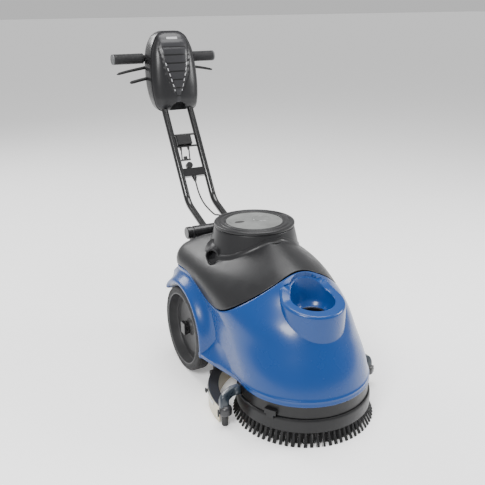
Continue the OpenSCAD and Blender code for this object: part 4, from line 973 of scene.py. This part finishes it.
class SCRUBBER_OT_console(bpy.types.Operator):
    """Build the console's rear shell and ribbed front mask"""
    bl_idname = "scrubber.console"
    bl_label = "Console"

    def execute(self, context):
        rib = sizes()["rib"]
        n, levels = 144, 121
        tall = CONSOLE_HIGH - CONSOLE_LOW
        z = (CONSOLE_LOW + tall * (1 - np.cos(np.linspace(0, np.pi, levels))) / 2)[:, None]
        a = (np.arange(n) + 0.5) * TAU / n
        ends = 7.0  # rounding of both ends
        inset = 0.0
        for past in (CONSOLE_LOW + ends - z, z - CONSOLE_HIGH + ends):
            inset = inset + ends * (1 - np.sqrt(1 - (past / ends).clip(0, 1) ** 2))
        full = console_skin(a, z, inset)
        rear = full.copy()
        rear[..., 1] = np.maximum(rear[..., 1], mask_split(rear[..., 2], 0.8))
        Bag().tube(onto_panel(rear)).piece("console_back", "handle", "charcoal_plastic",
                                           look("console"), ["console_shell"], 40)
        front = full.copy()
        edge = mask_split(front[..., 2], -0.8)
        depth = edge - front[..., 1]
        relief = mask_relief(front[..., 0], front[..., 2], rib)
        relief = relief * smooth(2, 14, depth) * (np.sin(a) < -0.3)
        arch = np.hypot(front[..., 0], front[..., 2] - CONSOLE_LOW)
        front[..., 1] = np.minimum(front[..., 1], edge)
        lip = 2.2 * smooth(4.5, 0, edge - front[..., 1])
        cut = smooth(26.5, 24.5, arch) * (np.sin(a) < 0)
        front[..., 1] -= np.where(np.sin(a) < 0, np.clip(relief - lip * 0.5, -3.1, 2.4), 0)
        front[..., 1] = np.where(cut > 0, np.minimum(edge, front[..., 1] + cut * 30), front[..., 1])
        Bag().tube(onto_panel(front)).piece("console_front", "handle", "charcoal_plastic",
                                            look("mask"), ["console_mask"], 40)
        return {"FINISHED"}


class SCRUBBER_OT_grips(bpy.types.Operator):
    """Build the ribbed grips with their end caps"""
    bl_idname = "scrubber.grips"
    bl_label = "Grips"

    def execute(self, context):
        deep, radius, pitch = sizes()["grip_rib"], 16.0, 4.0
        x = np.arange(78, 158, 0.8)
        ribs = list(zip(radius - deep + deep * np.cos(x * TAU / pitch), x))
        sleeve = [(11.1, 71), (14.5, 71), (15.6, 71.8), (radius, 73.5)] + ribs
        sleeve += [(radius, 160), (radius, 163.5), (15.4, 164.4), (11.1, 164.4)]
        bag = Bag().tube(spin(sleeve, 64, (0, *GRIP), "x"), loop_u=True).mirror()
        bag.piece("grip_sleeves", "handle", "grip_rubber", look("grip"), ["grips"], 60)
        cap = [(0.4, 164.6), (15.2, 164.6), (15.9, 165.2), (radius, 166.4), (15.9, 168.2),
               (15.2, 169.4), (13.6, 170), (11.0, 169.8), (9.6, 169.2), (0.4, 169.0)]
        caps = Bag().tube(spin(cap, 64, (0, *GRIP), "x")).mirror()
        caps.piece("grip_caps", "handle", "grip_rubber", look("cap"))
        return {"FINISHED"}


def blade_lever(pivot, tilt, back, reach, wide, thick, drop, n=40):
    """Tapered lever that falls outward from its pivot by a tilt in degrees: a rounded section that
    runs from a little behind the pivot to its reach and widens to a soft, turned-down tip."""
    side = math.copysign(1, pivot[0])
    out = np.array([side * math.cos(math.radians(tilt)), 0, -math.sin(math.radians(tilt))])
    root, tip = pivot - back * out, pivot + reach * out
    path = curve([root, (root * 2 + tip) / 3 + [0, 0, drop * 0.5], (root + tip * 2) / 3 + [0, 0, drop],
                  tip], n)
    t = np.linspace(0, 1, n)[:, None, None]
    ends = np.sqrt(np.clip(1 - ((t - 0.5) * 2) ** 12, 0.02, 1))
    scale = np.concatenate([(a + (b - a) * t) * ends for a, b in (wide, thick)], -1)
    return sweep(path, oval(20, 0.5, 0.5, 3.0)[None] * scale, up=(0.0, 1.0, 0.0))


class SCRUBBER_OT_levers(bpy.types.Operator):
    """Build the two brush levers and the squeegee paddle"""
    bl_idname = "scrubber.levers"
    bl_label = "Levers"

    def execute(self, context):
        for sign, side in ((-1, "left"), (1, "right")):
            lever = blade_lever(np.array([56.0 * sign, 842, 761]), 10, 4.0, 106.4, (13, 16),
                                (10, 7.5), 1.0)
            Bag().tube(lever).piece(f"{side}_lever_blade", f"{side}_lever", "black_plastic",
                                    look("black"), [f"{side}_lever"], 60)
        paddle = blade_lever(np.array([-60.0, 815, 731]), 11, 4.5, 70.5, (11, 17), (10, 9), 0.5)
        Bag().tube(paddle).piece("squeegee_paddle", "squeegee_lever", "black_plastic",
                                 look("black"), ["squeegee_lever"], 60)
        return {"FINISHED"}


class SCRUBBER_OT_squeegee(bpy.types.Operator):
    """Build the squeegee's curved holder, bent arms and end knobs"""
    bl_idname = "scrubber.squeegee"
    bl_label = "Squeegee"

    def execute(self, context):
        a = np.radians(np.linspace(-4, 184, 181))[:, None]
        centre, radius, low = 45.0, 200.0, 35.6
        channel = np.array([(-9.8, 0), (-9.8, 8.8), (-12.4, 8.8), (-13, 9.4), (-13, 10.8),
                            (-12.2, 12), (12.2, 12), (13, 10.8), (13, 9.4), (12.4, 8.8), (9.8, 8.8),
                            (9.8, 0)])
        r, z = radius + channel[:, 0], low + channel[:, 1] + 0 * a
        holder = Bag().tube(np.stack([r * np.cos(a), centre + r * np.sin(a), z], -1))

        n = 60
        bend = curve([(161, 26, 80), (172, 26.5, 80), (180, 26, 79.6), (190, 24, 76.5),
                      (199, 20.5, 72.5), (204.5, 17.5, 68), (206, 15.5, 62), (206.4, 14, 54),
                      (206.4, 13, 46)], n)
        wide = 12.5 - 1.5 * np.linspace(0, 1, n)[:, None, None]
        strap = oval(36, 1, 1, 5.0)[None] * np.concatenate([wide * 0.64, wide], -1)
        boss = [(5.2, 162), (11.4, 162), (12, 162.8), (12, 172), (10.5, 175.5), (5.2, 176)]
        arms = Bag().tube(sweep(bend, strap, up=(0.0, 1.0, 0.0)))
        arms.tube(spin(boss, 48, (0, 25, 80), "x"), loop_u=True).mirror()
        arms.piece("squeegee_arms", "squeegee", "frame_metal", look("arm"))

        knob = [(0.5, 33), (14.2, 33), (15.2, 34), (15.6, 37), (15.6, 46), (14.8, 50), (12.4, 53),
                (8.5, 55), (4, 55.8), (0.5, 56)]
        bracket = curve([(192, 18, 41.6), (198, 17, 41.6), (207, 15, 41.6)], 6)
        leg = np.array([(134.5, y, 44.6) for y in (176.0, 205.0, 239.0)])
        fork = np.array([(132.0, 232.0, z) for z in (46.0, 25.0, 4.6)])
        ends = Bag().tube(spin(knob, 56, (204, 12, 0)))
        ends.tube(spin([(0.3, 3.8), (3, 3.8), (3, 34), (0.3, 34)], 24, (204, 16, 0)))
        ends.tube(sweep(bracket, oval(20, 9, 5.6, 5.0), up=(0.0, 1.0, 0.0)))
        ends.tube(sweep(leg, oval(16, 4, 2.9, 6.0))).tube(sweep(fork, oval(16, 1.5, 6, 6.0)))
        ends.tube(spin([(0.3, 130.5), (3, 130.5), (3, 141.5), (0.3, 141.5)], 24, (0, 232, 10.6), "x"))
        ends.mirror()
        holder.add(np.vstack(ends.points), np.vstack(ends.quads), np.vstack(ends.tris))
        holder.piece("squeegee_frame", "squeegee", "frame_metal", look("frame"), ["squeegee_holder"],
                     40)
        return {"FINISHED"}


class SCRUBBER_OT_lines(bpy.types.Operator):
    """Build the handle's cable and the ribbed suction hose"""
    bl_idname = "scrubber.lines"
    bl_label = "Cable and hose"

    def execute(self, context):
        path = curve([[-2, 626.8, 436.0], [-1, 606, 404], [2, 596, 388], [5, 578, 374],
                      [6, 552, 366], [4, 522, 363], [1, 494, 364], [0, 470, 369.5],
                      [0, 454, 371.5], [0, 443, 368.5], [0, 440.1, 364.5], [0, 440.1, 360.8]], 160)
        cable = Bag().tube(sweep(path, oval(16, 2.5, 2.5))).piece(
            "cable_line", None, "black_rubber", look("cable"), ["handle_cable"], 60)
        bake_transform(cable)

        n, pitch, cuff, cuff_rings = 420, 5.0, 13.9, 16
        path = curve([[0, 267.2, 61.6], [0, 295, 61.6], [0, 345, 62], [0, 396, 61], [0, 436, 64],
                      [0, 460, 80], [0, 470, 110], [0, 471, 160], [0, 470, 215], [0, 467, 255],
                      [0, 460, 277], [0, 447, 288], [0, 434.7, 289]], n)
        radius = 13.1 + 0.9 * np.cos(np.arange(n) * TAU / pitch)
        radius[:cuff_rings], radius[-cuff_rings:] = cuff, cuff
        grid = sweep(path, oval(28, 1, 1)[None] * radius[:, None, None])
        hose = Bag().tube(grid).piece("hose_line", None, "black_rubber", look("rubber"),
                                      ["suction_hose"], 60)
        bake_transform(hose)
        return {"FINISHED"}


def staged(name, data):
    """A stage object with its data, linked to the scene."""
    obj = bpy.data.objects.new(name, data)
    bpy.context.scene.collection.objects.link(obj)
    return obj


# Area lights: name, place, the point it faces, diameter and power.
LAMPS = (("key", (-1.7, -1.5, 2.2), (0, -0.1, 0.3), 1.0, 80.0),
         ("top", (0.4, 0.0, 3.0), (0, 0, 0.2), 2.2, 90.0),
         ("right", (2.2, -1.0, 1.5), (0, 0, 0.45), 0.9, 48.0),
         ("back", (-1.0, 2.6, 2.2), (0, 0.2, 0.5), 1.5, 60.0))


class SCRUBBER_OT_stage(bpy.types.Operator):
    """Set the floor, the lights and the camera"""
    bl_idname = "scrubber.stage"
    bl_label = "Stage"

    def execute(self, context):
        scene = bpy.context.scene
        white, reach = (1.0, 1.0, 1.0, 1.0), 60
        floor = Nodes("studio_floor", scene.scrubber_colours.floor, 0.55)
        floor.bsdf.inputs["Emission Color"].default_value = white
        floor.bsdf.inputs["Emission Strength"].default_value = 0.22
        mesh = bpy.data.meshes.new("floor")
        corners = [(x * reach, y * reach, 0) for x, y in ((-1, -1), (1, -1), (1, 1), (-1, 1))]
        mesh.from_pydata(corners, [], [(0, 1, 2, 3)])
        mesh.materials.append(floor.mat)
        staged("floor", mesh)
        for name, spot, aim, size, power in LAMPS:
            data = bpy.data.lights.new(name, "AREA")
            data.shape, data.size, data.energy = "DISK", size, power
            lamp = staged(name, data)
            lamp.location = spot
            x, y, z = np.array(aim, float) - np.array(spot, float)
            lamp.rotation_euler = (math.atan2(math.hypot(x, y), -z), 0, math.atan2(y, x) - math.pi / 2)
        world = bpy.data.worlds.new("studio")
        world.use_nodes = True
        back = next(n for n in world.node_tree.nodes if n.type == "BACKGROUND")
        back.inputs[0].default_value, back.inputs[1].default_value = white, 0.62
        scene.world = world
        data = bpy.data.cameras.new("view")
        data.sensor_width, data.lens = 36.0, 50.87
        cam = staged("view", data)
        turn = Matrix.Identity(4)
        for degrees, axis in ((-26.8, "Z"), (90 - 19.1, "X"), (-0.6, "Z")):
            turn = turn @ Matrix.Rotation(math.radians(degrees), 4, axis)
        cam.matrix_world = Matrix.Translation((-0.7914, -1.2486 + BRUSH_Y * MM, 0.9394)) @ turn
        scene.camera = cam
        return {"FINISHED"}


class SCRUBBER_PT_panel(bpy.types.Panel):
    """Sidebar panel with the sizes, colours and build steps"""
    bl_idname = "SCRUBBER_PT_panel"
    bl_label = "Floor Scrubber"
    bl_space_type = "VIEW_3D"
    bl_region_type = "UI"
    bl_category = "Scrubber"

    def draw(self, context):
        for group in (context.scene.scrubber_sizes, context.scene.scrubber_colours):
            box = self.layout.box()
            for key in group.__annotations__:
                box.prop(group, key)
        for op in STEPS:
            self.layout.operator(op.bl_idname)


STEPS = (SCRUBBER_OT_cad_looks, SCRUBBER_OT_blue_body, SCRUBBER_OT_recovery_tank, SCRUBBER_OT_lid,
         SCRUBBER_OT_wheels, SCRUBBER_OT_brush, SCRUBBER_OT_console, SCRUBBER_OT_grips,
         SCRUBBER_OT_levers, SCRUBBER_OT_squeegee, SCRUBBER_OT_lines, SCRUBBER_OT_stage)
CLASSES = (ScrubberSizes, ScrubberColours, *STEPS, SCRUBBER_PT_panel)


def register():
    for c in CLASSES:
        bpy.utils.register_class(c)
    bpy.types.Scene.scrubber_sizes = bpy.props.PointerProperty(type=ScrubberSizes)
    bpy.types.Scene.scrubber_colours = bpy.props.PointerProperty(type=ScrubberColours)


def unregister():
    del bpy.types.Scene.scrubber_colours
    del bpy.types.Scene.scrubber_sizes
    for c in reversed(CLASSES):
        bpy.utils.unregister_class(c)


def main():
    """Builds everything in order."""
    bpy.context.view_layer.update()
    register()
    for step in STEPS:
        group, name = step.bl_idname.split(".")
        getattr(getattr(bpy.ops, group), name)()


if __name__ == "__main__":
    main()
